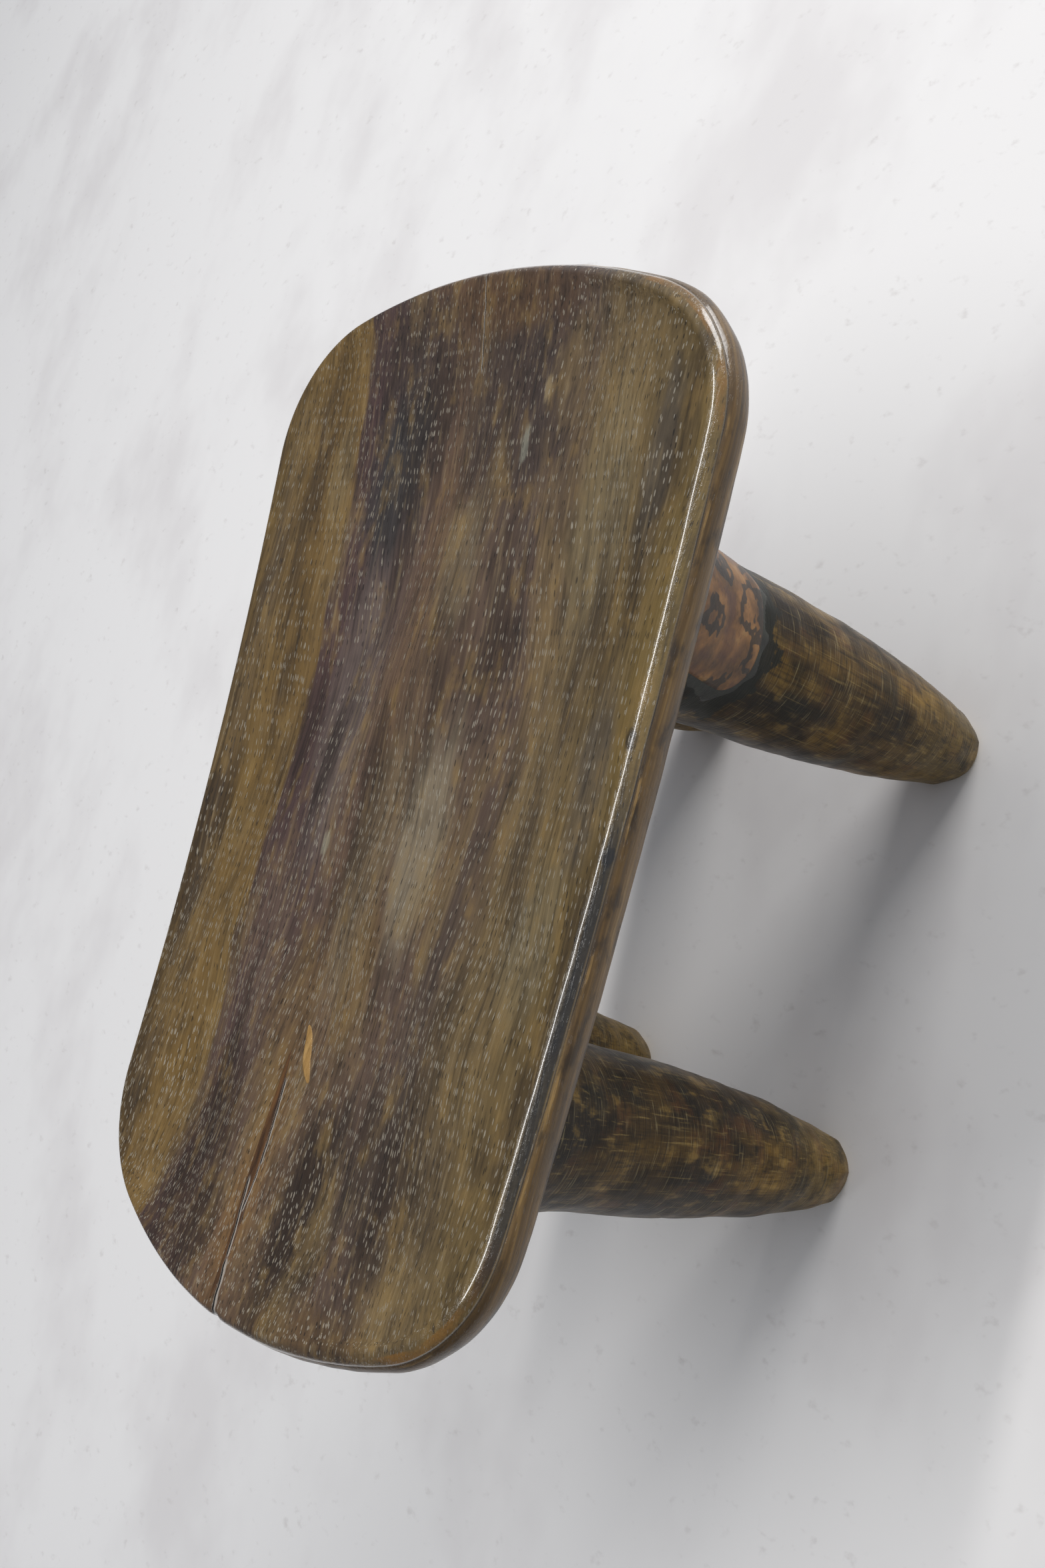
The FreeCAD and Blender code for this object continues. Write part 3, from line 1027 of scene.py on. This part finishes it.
def crack_masks(
    material: bpy.types.Material, place: Any, cracks: Sequence[Crack]
) -> tuple[bpy.types.Node, bpy.types.Node]:
    """Mask the crack edges, where a pale highlight is painted, and their dark bottoms.

    Args:
        material: the material being made.
        place: the position on the object.
        cracks: the cracks.

    Returns:
        The mask of the lips and the mask of the bottoms.
    """
    wander = sized_noise(material, place, (9, 4, 4), 3, 3.3)
    sway = add_node(material, "Math", [wander, 1.6 * MM, -0.8 * MM], operation="MULTIPLY_ADD")
    crack_highlights = gaps = None
    for crack in cracks:
        run = Vector(crack.end) - Vector(crack.start)
        moved = add_node(
            material,
            "VectorMath",
            [place, (crack.start[0] * MM, crack.start[1] * MM, 0)],
            operation="SUBTRACT",
        )
        turned = add_node(
            material,
            "VectorRotate",
            {"Vector": moved, "Angle": -math.atan2(run.y, run.x)},
            rotation_type="Z_AXIS",
        )
        parts = add_node(material, "SeparateXYZ", [turned])
        bent = add_node(material, "Math", [parts.outputs["Y"], sway], operation="ADD")
        ends = (run.length - 3) * MM, (run.length + 0.5) * MM
        within = between(material, parts.outputs["X"], (-0.5 * MM, 1.5 * MM), ends)
        half = crack.width / 2 * MM
        # the pale band beside each crack is a painted highlight
        lip = between(material, bent, (-3.2 * half, -2 * half), (0.5 * half, 1.6 * half))
        gap = between(material, bent, (-1.1 * half, -0.5 * half), (0.5 * half, 1.1 * half))
        lip = add_node(material, "Math", [lip, within], operation="MULTIPLY")
        gap = add_node(material, "Math", [gap, within], operation="MULTIPLY")
        if crack_highlights:
            lip = add_node(material, "Math", [lip, crack_highlights], operation="MAXIMUM")
            gap = add_node(material, "Math", [gap, gaps], operation="MAXIMUM")
        crack_highlights, gaps = lip, gap
    return crack_highlights, gaps


def fill_shader(
    material: bpy.types.Material,
    shader: bpy.types.Node,
    colour: bpy.types.Node,
    rough: bpy.types.Node | float,
    bump: bpy.types.Node,
    coat: bpy.types.Node | float,
    gloss: float = 0.5,
) -> None:
    """Give a surface shader its colour, roughness, relief and thin varnish.

    Args:
        material: the material being made.
        shader: its surface shader.
        colour: the finished colour.
        rough: the roughness, as a node or one value.
        bump: the relief.
        coat: how much varnish lies on it, likewise.
        gloss: how strongly the wood itself reflects.
    """
    links = material.node_tree.links
    shown = next(socket for socket in colour.outputs if socket.enabled)
    links.new(shown, shader.inputs["Base Color"])
    links.new(bump.outputs[0], shader.inputs["Normal"])
    for name, value in (("Roughness", rough), ("Coat Weight", coat)):
        if isinstance(value, bpy.types.Node):
            links.new(value.outputs[0], shader.inputs[name])
        else:
            shader.inputs[name].default_value = value
    shader.inputs["Specular IOR Level"].default_value = gloss
    shader.inputs["Coat Roughness"].default_value = VARNISH_ROUGHNESS


def start_material(name: str) -> tuple[bpy.types.Material, bpy.types.Node, bpy.types.NodeSocket]:
    """Start a material.

    Args:
        name: the material's name.

    Returns:
        The material, its surface shader and the position on the object.
    """
    material = bpy.data.materials.new(name)
    material.use_nodes = True
    shader = material.node_tree.nodes["Principled BSDF"]
    return material, shader, add_node(material, "TexCoord").outputs["Object"]


@dataclass(frozen=True)
class VarnishedHardwood:
    """Open-pored tropical hardwood under a thin old varnish.

    Golden sapwood and plum-brown heartwood lie in broad lengthwise bands. Short pale pores
    give the eye its scale, and the varnish leaves a satin sheen on the rim.
    """

    name: str = "seat_hardwood"
    coat: float = 0.3
    pore_cell: tuple[float, float, float] = (4.4, 0.62, 0.62)
    streak_length: float = 70.0
    streak_width: float = 1.2
    bands: tuple[tuple[float, str], ...] = (
        (-116, "#76602f"),
        (-98, "#6f5b36"),
        (-78, "#6b5838"),
        (-62, "#705c3c"),
        (-46, "#574539"),
        (-28, "#5d4a3d"),
        (-6, "#624d3a"),
        (14, "#69513c"),
        (30, "#5e4a40"),
        (44, "#503e3a"),
        (60, "#4f3a37"),
        (67, "#4c3933"),
        (70, "#745a30"),
        (90, "#72582c"),
        (114, "#665029"),
    )
    blotches: tuple[Blotch, ...] = (
        # pale blotch in the middle: a painted sheen
        Blotch(-14, -20, 60, 18, "#8e8068", 0.72),
        Blotch(30, 38, 80, 17, "#6f6159", 0.6),
        Blotch(122, 40, 54, 23, "#383635", 0.85),
        Blotch(140, -20, 58, 44, "#41342e", 0.8),
        Blotch(84, -6, 36, 13, "#75664c", 0.55),
        Blotch(100, -70, 60, 17, "#7c6c4d", 0.7),
        Blotch(-40, -84, 40, 14, "#7a6d52", 0.6),
        Blotch(-150, -16, 58, 22, "#2f231a", 0.9),
        Blotch(-124, -50, 46, 36, "#3a2e24", 0.7),
        Blotch(-148, 48, 62, 24, "#3d2b20", 0.85),
        Blotch(-146, 18, 66, 12, "#7a5a34", 0.75),
        Blotch(-88, 22, 50, 22, "#6d5531", 0.5),
        Blotch(184, 0, 24, 60, "#5c4024", 0.6),
        Blotch(-186, -50, 20, 60, "#644c2a", 0.6),
        Blotch(-60, -44, 66, 12, "#4b3e33", 0.5),
        Blotch(20, 104, 130, 10, "#59462c", 0.4),
        Blotch(118, 76, 30, 10, "#7a6848", 0.6),
        Blotch(118, -92, 50, 9, "#4b4642", 0.6),
        Blotch(12, -93, 44, 11, "#4a4746", 0.55),
        Blotch(-30, 4, 74, 16, "#806e51", 0.55),
        Blotch(-62, 50, 50, 14, "#6f5a4a", 0.5),
        Blotch(166, 38, 32, 34, "#43352d", 0.7),
        Blotch(-166, 34, 26, 12, "#382819", 0.7),
        Blotch(-70, -6, 40, 10, "#7a6036", 0.5),
        Blotch(-24, 31, 7, 2.6, "#8d8674", 0.9, 0.7),
        Blotch(128, -26, 8, 3.0, "#878374", 0.9, 0.8),
        Blotch(146, -33, 7, 2.6, "#8c7a5c", 0.9, 0.8),
        # dark stain with painted shadow at the far rim
        Blotch(38, 115, 24, 5, "#1d2226", 0.9, 0.3),
        Blotch(28, -108, 5, 3.0, "#1c150f", 0.9, 0.6),
        Blotch(-9, -109, 5, 2.4, "#1c150f", 0.9, 0.6),
    )
    cracks: tuple[Crack, ...] = END_CRACKS

    def build(self) -> bpy.types.Material:
        """Build the material.

        Returns:
            The finished wood.
        """
        material, shader, place = start_material(self.name)
        below = add_node(material, "Attribute", attribute_name="below_rim").outputs["Fac"]
        flow = self._flow(material, place)
        colour = self._bands(material, flow)
        for number, blotch in enumerate(self.blotches):
            colour = self._blotch(material, place, colour, blotch, number * 0.37)
        colour = self._grain(material, flow, colour)
        pores, dark_pores = self._pores(material, flow, place)
        colour = stain(material, colour, "#120c08", dark_pores, (0, 1), 0.75)
        colour = stain(material, colour, "#b5ab98", pores, (0, 1), 0.62)
        colour = self._rim(material, place, colour, below)
        crack_highlights, gap = crack_masks(material, place, self.cracks)
        # painted highlight on the crack edges
        colour = stain(material, colour, "#b0a79c", crack_highlights, (0, 1), 0.8)
        colour = stain(material, colour, "#0d0a07", gap, (0, 1), 1.0)
        patina = sized_noise(material, place, (40, 12, 12), 3, 0.5)
        rough = add_node(
            material,
            "MapRange",
            {"Value": patina, "From Min": 0.3, "From Max": 0.7, "To Min": 0.32, "To Max": 0.46},
        )
        shine = between(material, below, (0.2, 0.6), (3.6, 5))
        rough = add_node(material, "Math", [shine, -0.2, rough], operation="MULTIPLY_ADD")
        grain = sized_noise(material, flow, (34, 0.9, 0.9), 3, 4.2)
        relief = add_node(material, "Math", [pores, -0.7, grain], operation="MULTIPLY_ADD")
        relief = add_node(material, "Math", [gap, -3.0, relief], operation="MULTIPLY_ADD")
        crust = sized_noise(material, place, (2.4, 2.0, 2.0), 3, 5.5)
        crust = add_node(material, "Math", [crust, shine], operation="MULTIPLY")
        relief = add_node(material, "Math", [crust, 1.6, relief], operation="MULTIPLY_ADD")
        bump = add_node(material, "Bump", {"Height": relief, "Distance": 0.3 * MM, "Strength": 0.7})
        coat = add_node(material, "Math", [shine, 0.7, self.coat], operation="MULTIPLY_ADD")
        fill_shader(material, shader, colour, rough, bump, coat, 0.4)
        return material

    def _flow(self, material: bpy.types.Material, place: Any) -> bpy.types.Node:
        """Bend the position sideways, so that what follows it curves as the grain does.

        Args:
            material: the material being made.
            place: the position on the object.

        Returns:
            The bent position.
        """
        sway = sized_noise(material, place, (130, 55, 55), 1, 0.6)
        shift = add_node(material, "Math", [sway, 30 * MM, -15 * MM], operation="MULTIPLY_ADD")
        sideways = add_node(material, "CombineXYZ", {"Y": shift})
        return add_node(material, "VectorMath", [place, sideways], operation="ADD")

    def _bands(self, material: bpy.types.Material, flow: Any) -> bpy.types.Node:
        """Lay the broad lengthwise bands, with frayed borders.

        Args:
            material: the material being made.
            flow: the position that follows the grain.

        Returns:
            The colour's node.
        """
        across = add_node(material, "SeparateXYZ", [flow]).outputs["Y"]
        fray = sized_noise(material, flow, (34, 5, 5), 4, 0.2)
        across = add_node(material, "Math", [fray, 16 * MM, across], operation="MULTIPLY_ADD")
        share = add_node(
            material, "Math", [across, 1 / (240 * MM), 0.5 - 8 / 240], operation="MULTIPLY_ADD"
        )
        stops = [((y + 120) / 240, code) for y, code in self.bands]
        return add_node(material, "ValToRGB", [share], stops)

    def _blotch(
        self, material: bpy.types.Material, place: Any, colour: Any, blotch: Blotch, seed: float
    ) -> bpy.types.Node:
        """Lay one blotch, full in its middle and fading with a ragged edge.

        Args:
            material: the material being made.
            place: the position on the object.
            colour: the colour so far.
            blotch: the blotch.
            seed: shifts its ragged edge.

        Returns:
            The blotched colour's node.
        """
        moved = add_node(
            material,
            "Mapping",
            {
                "Vector": place,
                "Location": (-blotch.x / blotch.reach_x, -blotch.y / blotch.reach_y, 0),
                "Scale": (1 / (blotch.reach_x * MM), 1 / (blotch.reach_y * MM), 0),
            },
        )
        away = add_node(material, "VectorMath", [moved], operation="LENGTH")
        size = min(blotch.reach_x, 34), min(blotch.reach_y, 9) * 0.7, 9
        fray = sized_noise(material, place, size, 4, seed)
        frayed = add_node(
            material,
            "Math",
            [fray, blotch.ragged * 2, away.outputs["Value"]],
            operation="MULTIPLY_ADD",
        )
        middle = 0.35 + blotch.ragged
        return stain(
            material, colour, blotch.colour, frayed, (middle + 0.6, middle + 0.06), blotch.strength
        )

    def _grain(self, material: bpy.types.Material, flow: Any, colour: Any) -> bpy.types.Node:
        """Darken and lighten the colour with fine streaks, a mottle and soft clouds.

        Args:
            material: the material being made.
            flow: the position that follows the grain.
            colour: the colour so far.

        Returns:
            The grained colour's node.
        """
        fine = (self.streak_length, self.streak_width, self.streak_width)
        streak = sized_noise(material, flow, fine, 4, 0.9)
        mottle = sized_noise(material, flow, (18, 7, 7), 4, 0.3)
        cloud = sized_noise(material, flow, (85, 20, 20), 3, 1.7)
        colour = stain(material, colour, "#2b1e15", cloud, (0.5, 0.66), 0.58)
        colour = stain(material, colour, "#8f764a", cloud, (0.47, 0.3), 0.42)
        colour = stain(material, colour, "#1c130c", mottle, (0.5, 0.72), 0.38)
        colour = stain(material, colour, "#9b7d48", mottle, (0.48, 0.28), 0.36)
        colour = stain(material, colour, "#150e08", streak, (0.5, 0.74), 0.55)
        return stain(material, colour, "#a8926c", streak, (0.48, 0.24), 0.34)

    def _pores(
        self, material: bpy.types.Material, flow: Any, place: Any
    ) -> tuple[bpy.types.Node, bpy.types.Node]:
        """Mask the short pores: the pale ones, and the open dark ones.

        Args:
            material: the material being made.
            flow: the position that follows the grain.
            place: the position on the object.

        Returns:
            The mask of the pale pores and the mask of the dark ones.
        """
        scaled = add_node(
            material,
            "Mapping",
            {"Vector": flow, "Scale": tuple(1 / (length * MM) for length in self.pore_cell)},
        )
        cells = add_node(material, "TexVoronoi", {"Vector": scaled, "Scale": 1.0})
        core = between(material, cells.outputs["Distance"], (-1, -0.5), (0.2, 0.4))
        dice = add_node(material, "SeparateColor", [cells.outputs["Color"]])
        crowd = sized_noise(material, place, (50, 26, 26), 2, 2.9)
        along = add_node(material, "SeparateXYZ", [place]).outputs["X"]
        share = add_node(
            material,
            "MapRange",
            {"Value": along, "From Min": -0.08, "From Max": 0.04, "To Min": 1.4, "To Max": 0.85},
        )
        density = add_node(material, "Math", [crowd, share, -0.1], operation="MULTIPLY_ADD")
        picked = add_node(material, "Math", [dice.outputs[0], density], operation="LESS_THAN")
        open_ones = add_node(material, "Math", [dice.outputs[0], 0.8], operation="GREATER_THAN")
        pale = add_node(material, "Math", [core, picked], operation="MULTIPLY")
        dark = add_node(material, "Math", [core, open_ones], operation="MULTIPLY")
        return pale, dark

    def _rim(
        self, material: bpy.types.Material, place: Any, colour: Any, below: Any
    ) -> bpy.types.Node:
        """Paint dark reflections on the shoulder and groove, rub corners golden, tone side and lower
        arris.

        Args:
            material: the material being made.
            place: the position on the object.
            colour: the colour so far.
            below: millimetres below the rim.

        Returns:
            The rim's colour, which leaves the hollow as it was.
        """
        ragged = sized_noise(material, place, (22, 22, 4), 4, 0.7)
        mottle = sized_noise(material, place, (13, 13, 5), 4, 2.4)
        band = sized_noise(material, place, (70, 70, 2.2), 5, 1.1)
        tone = add_node(
            material,
            "ValToRGB",
            [band],
            [(0.3, "#3a2915"), (0.45, "#543e20"), (0.55, "#6a502b"), (0.68, "#83683c")],
        )
        colour = stain(material, colour, tone, below, (2.6, 4.2), 0.9)
        parts = add_node(material, "SeparateXYZ", [place])
        shoulder = between(material, below, (0.4, 1.2), (2.8, 3.6))
        ends = add_node(material, "Math", [parts.outputs["X"]], operation="ABSOLUTE")
        rubbed = between(material, ends, (95 * MM, 140 * MM), (0.5, 0.6))
        close = between(material, parts.outputs["Y"], (-0.5, -0.4), (-80 * MM, -50 * MM))
        rubbed = (rubbed, shoulder, close, ragged)
        colour = stain(material, colour, "#8a6128", rubbed, (0.36, 0.6), 0.75)
        # painted dark reflection: a blue-black band on the shoulder over the narrower half of the
        # seat
        dark_reflection_span = between(material, parts.outputs["X"], (-165 * MM, -130 * MM), (-30 * MM, 50 * MM))
        dark_reflection_band = between(material, below, (0.5, 1.4), (2.6, 3.2))
        colour = stain(material, colour, "#121417", (dark_reflection_span, dark_reflection_band), (0, 1), 0.82)
        # painted dark reflection in the groove above the golden worn line
        groove_dark_reflection = between(material, below, (3.1, 3.4), (3.7, 4.2))
        colour = stain(material, colour, "#20150c", (groove_dark_reflection, ragged), (0.42, 0.62), 0.7)
        side = between(material, below, (3.0, 4.2), (13, 15))
        colour = stain(material, colour, "#241a10", (mottle, side), (0.5, 0.68), 0.7)
        worn = between(material, below, (3.8, 4.2), (4.6, 5.4))
        colour = stain(material, colour, "#a5834c", (worn, ragged), (0.54, 0.68), 0.6)
        low = between(material, below, (11.0, 12.2), (12.8, 13.4))
        colour = stain(material, colour, "#1e160e", (low, mottle), (0.36, 0.6), 0.6)
        scuff = between(material, below, (13.0, 13.7), (16, 17))
        return stain(material, colour, "#95866a", (scuff, ragged), (0.45, 0.62), 0.75)


@dataclass(frozen=True)
class HewnLegWood:
    """The same hardwood on a leg, hewn across the grain.

    The adze and the rasp leave fine marks round the leg, handling leaves olive and dark brown
    mottles, and resin has soaked into the wood round the patch.
    """

    name: str = "leg_hardwood"
    mark_gap: float = 0.75

    def build(self) -> bpy.types.Material:
        """Build the material.

        Returns:
            The finished wood.
        """
        material, shader, place = start_material(self.name)
        up_leg = add_node(material, "Attribute", attribute_name="up_leg").outputs["Fac"]
        off = add_node(material, "Attribute", attribute_name="from_patch").outputs["Fac"]
        broad = sized_noise(material, place, (24, 24, 60), 3, 0.4)
        colour = add_node(
            material,
            "ValToRGB",
            [broad],
            [(0.3, "#191206"), (0.44, "#33240c"), (0.56, "#553e15"), (0.7, "#846423")],
        )
        colour = stain(material, colour, "#1a1309", up_leg, (100, 230), 0.62)
        colour = stain(material, colour, "#8a6f30", up_leg, (90, 25), 0.42)
        mottle = sized_noise(material, place, (8, 8, 13), 5, 1.9)
        colour = stain(material, colour, "#0f0b06", mottle, (0.5, 0.68), 0.64)
        colour = stain(material, colour, "#a3823e", mottle, (0.46, 0.28), 0.44)
        rust = sized_noise(material, place, (15, 15, 20), 4, 2.6)
        colour = stain(material, colour, "#5f3a18", rust, (0.55, 0.68), 0.4)
        green = sized_noise(material, place, (20, 20, 30), 4, 3.6)
        colour = stain(material, colour, "#191a12", green, (0.56, 0.68), 0.55)
        fibre = sized_noise(material, place, (1.1, 1.1, 60), 4, 6.2)
        colour = stain(material, colour, "#0f0a05", fibre, (0.5, 0.72), 0.6)
        colour = stain(material, colour, "#b3985a", fibre, (0.45, 0.25), 0.32)
        marks = sized_noise(material, place, (11, 11, self.mark_gap), 3, 0.8)
        colour = stain(material, colour, "#0c0804", marks, (0.5, 0.7), 0.6)
        colour = stain(material, colour, "#c2b284", marks, (0.42, 0.22), 0.34)
        colour = stain(material, colour, "#a08c5e", up_leg, (3.5, 1.5), 0.7)
        smear = sized_noise(material, place, (9, 9, 9), 4, 5.1)
        reach = add_node(material, "Math", [smear, -44, off], operation="MULTIPLY_ADD")
        colour = stain(material, colour, "#171a14", reach, (-12.5, -15), 0.94)
        rough = add_node(
            material,
            "MapRange",
            {"Value": mottle, "From Min": 0.3, "From Max": 0.7, "To Min": 0.3, "To Max": 0.44},
        )
        relief = add_node(material, "Math", [marks, 0.8, mottle], operation="MULTIPLY_ADD")
        bump = add_node(
            material, "Bump", {"Height": relief, "Distance": 0.35 * MM, "Strength": 0.6}
        )
        fill_shader(material, shader, colour, rough, bump, 0.05, 0.12)
        return material


@dataclass(frozen=True)
class RepairFinish:
    """Wood or filler of a repair: a mottle between a few browns with dark smears on it.

    A redder, smoother surface with glue squiggles tells the eye that it is not the old wood.
    """

    name: str
    tones: tuple[tuple[float, str], ...]
    grain: tuple[float, float, float]
    smear: float
    smear_colour: str = "#181612"
    roughness: float = 0.4
    bump: float = 0.5
    cracks: tuple[Crack, ...] = ()

    def build(self) -> bpy.types.Material:
        """Build the material.

        Returns:
            The finished repair.
        """
        material, shader, place = start_material(self.name)
        broad = sized_noise(material, place, self.grain, 4, 0.6)
        colour = add_node(material, "ValToRGB", [broad], self.tones)
        fine = sized_noise(material, place, tuple(size / 6 for size in self.grain), 3, 1.2)
        colour = stain(material, colour, "#20150d", fine, (0.5, 0.8), 0.5)
        blot = sized_noise(material, place, (19, 19, 15), 3, 2.2)
        line = between(material, blot, (0.52, 0.54), (0.6, 0.625))
        colour = stain(material, colour, self.smear_colour, line, (0, 1), self.smear)
        colour = stain(material, colour, "#4a2d28", blot, (0.46, 0.36), self.smear * 0.6)
        if self.cracks:
            crack_highlights, gap = crack_masks(material, place, self.cracks)
            # painted highlight on the crack edges
            colour = stain(material, colour, "#b0a79c", crack_highlights, (0, 1), 0.8)
            colour = stain(material, colour, "#0d0a07", gap, (0, 1), 1.0)
        relief = add_node(material, "Math", [fine, 0.6, broad], operation="MULTIPLY_ADD")
        bump = add_node(
            material, "Bump", {"Height": relief, "Distance": 0.4 * MM, "Strength": self.bump}
        )
        fill_shader(material, shader, colour, self.roughness, bump, 0.12, 0.3)
        return material


PATCH_WOOD = RepairFinish(
    "patch_wood",
    ((0.3, "#3f2a18"), (0.45, "#6a4824"), (0.58, "#8a6032"), (0.72, "#a07a48")),
    (13, 13, 10),
    0.85,
)
SET_RESIN = RepairFinish(
    "set_resin",
    ((0.35, "#11130e"), (0.55, "#1d2118"), (0.7, "#303327")),
    (7, 7, 7),
    0.0,
    roughness=0.45,
    bump=0.6,
)
STOPPING = RepairFinish(
    "orange_stopping",
    ((0.35, "#3b281a"), (0.5, "#553a23"), (0.65, "#6c4a2a")),
    (20, 3, 3),
    0.0,
    roughness=0.35,
    cracks=END_CRACKS[:4],
)
PALE_SLIVER = RepairFinish(
    "pale_sliver_wood",
    ((0.3, "#8a6838"), (0.5, "#a9834d"), (0.7, "#bd9860")),
    (16, 2, 2),
    0.0,
    roughness=0.35,
    bump=0.3,
)


# ---------------------------------------------------------------- studio


@dataclass(frozen=True)
class SoftLight:
    """One rectangular soft light, with sizes in metres and power in watts."""

    name: str
    place: tuple[float, float, float]
    aim: tuple[float, float, float]
    size: tuple[float, float]
    power: float

    def hang(self) -> None:
        """Hang the light with its long side level, turned towards its aim."""
        data = bpy.data.lights.new(self.name, "AREA")
        data.shape = "RECTANGLE"
        data.size, data.size_y = self.size
        data.energy = self.power
        lamp = bpy.data.objects.new(self.name, data)
        lamp.location = self.place
        towards = Vector(self.aim) - Vector(self.place)
        lamp.rotation_euler = towards.to_track_quat("-Z", "Y").to_euler()
        bpy.context.scene.collection.objects.link(lamp)


@dataclass
class Studio:
    """The pale floor, the soft lights and the camera, in metres, with its lens in millimetres."""

    floor_half: float = 3.0
    sky: tuple[float, float] = (0.18, 0.6)
    bright_side: tuple[float, float, float] = (0.8, -0.45, 0.4)
    lens: float = 35.2
    sensor: float = 36.0
    lights: tuple[SoftLight, ...] = (
        SoftLight("strip_above", (0.1, 0.2, 2.2), (0.1, 0.2, 0), (2.0, 0.11), 18),
        SoftLight("window", (2.2, -0.6, 1.1), (0, 0, 0.15), (1.2, 1.2), 34),
    )

    def build(self) -> None:
        """Build the floor, the lights and the camera."""
        self._floor()
        self._sky()
        for light in self.lights:
            light.hang()
        self._camera()

    def _floor(self) -> None:
        """Lay a plain pale floor at the feet."""
        bm = bmesh.new()
        bmesh.ops.create_grid(bm, x_segments=1, y_segments=1, size=self.floor_half)
        paper, shader, place = start_material("pale_paper")
        blurs = sized_noise(paper, place, (160, 110, 110), 4, 0.4)
        dulled = stain(paper, "#faf7f4", "#e6e1df", blurs, (0.44, 0.72), 0.6)
        specks = sized_noise(paper, place, (7, 9, 9), 5, 2.4)
        dulled = stain(paper, dulled, "#cfc8c4", specks, (0.6, 0.8), 0.4)
        paper.node_tree.links.new(dulled.outputs[2], shader.inputs["Base Color"])
        shader.inputs["Roughness"].default_value = 0.9
        finish_piece(bm, "paper_floor", paper)

    def _sky(self) -> None:
        """Give the room an even light that is brighter on the side of its windows."""
        bpy.context.scene.view_settings.view_transform = "Standard"
        world = bpy.data.worlds.new("soft_room")
        bpy.context.scene.world = world
        world.use_nodes = True
        background = world.node_tree.nodes["Background"]
        background.inputs["Color"].default_value = srgb("#e6ecf6")
        direction = add_node(world, "TexCoord").outputs["Generated"]
        facing = add_node(
            world, "VectorMath", [direction, self.bright_side], operation="DOT_PRODUCT"
        )
        level = add_node(
            world,
            "MapRange",
            {
                "Value": facing.outputs["Value"],
                "From Min": -0.2,
                "From Max": 0.9,
                "To Min": self.sky[0],
                "To Max": self.sky[1],
            },
            interpolation_type="SMOOTHSTEP",
        )
        world.node_tree.links.new(level.outputs[0], background.inputs["Strength"])

    def _camera(self) -> None:
        """Set the camera at the viewing angle."""
        data = bpy.data.cameras.new("camera")
        data.lens = self.lens
        data.sensor_width = self.sensor
        camera = bpy.data.objects.new("camera", data)
        right = Vector((0.24195, -0.69425, -0.67785))
        down = Vector((-0.96675, -0.11285, -0.22949))
        ahead = Vector((0.08283, 0.71083, -0.69846))
        place = Vector((-0.0322, -0.4196, 0.6063))
        turn = Matrix((right, -down, -ahead)).transposed()
        camera.matrix_world = Matrix.Translation(place) @ turn.to_4x4()
        bpy.context.scene.collection.objects.link(camera)
        bpy.context.scene.camera = camera


def main() -> None:
    """Build every piece, dress it and light it."""
    logging.basicConfig(level=logging.INFO, format="%(name)s %(message)s")
    seat = Seat()
    stand_for(seat.build(VarnishedHardwood().build()), "seat")
    legs = {
        "leg_wide_right": Leg("leg_wide_right", (85.7 * MM, -63.1 * MM), (78 * MM, -60.6 * MM), 1.3),
        "leg_wide_left": Leg("leg_wide_left", (97 * MM, 74 * MM), (83 * MM, 59 * MM), 2.9),
        "leg_narrow_right": Leg(
            "leg_narrow_right", (-109 * MM, -46.4 * MM), (-98.2 * MM, -52.3 * MM), 4.1
        ),
        "leg_narrow_left": Leg("leg_narrow_left", (-90 * MM, 75 * MM), (-90.6 * MM, 53 * MM), 6.6),
    }
    leg_wood = HewnLegWood().build()
    patched = legs["leg_wide_right"]
    patch = Panel(patched, margin=0, proud=0.7, edge_proud=0.5)
    resin = Panel(patched, margin=3.5, proud=0.15, edge_proud=0.0, corner=14.5, wander=3.2)
    for node, leg in legs.items():
        stand_for(leg.build(leg_wood, patch if leg is patched else None), node)
    stand_for(patch.build("root_patch", PATCH_WOOD.build(), 0.12), "leg_root_patch")
    stand_for(resin.build("root_resin", SET_RESIN.build(), 0.2), "leg_root_resin")
    filler = Inlay("crack_stopping", -143, 16.2, 88, 4.4, 2)
    stand_for(filler.build(seat, STOPPING.build()), "crack_filler")
    sliver = Inlay("wood_sliver", -98, 7.6, 21, 4.4, 24)
    stand_for(sliver.build(seat, PALE_SLIVER.build()), "crack_sliver")
    Studio().build()


if __name__ == "__main__":
    main()
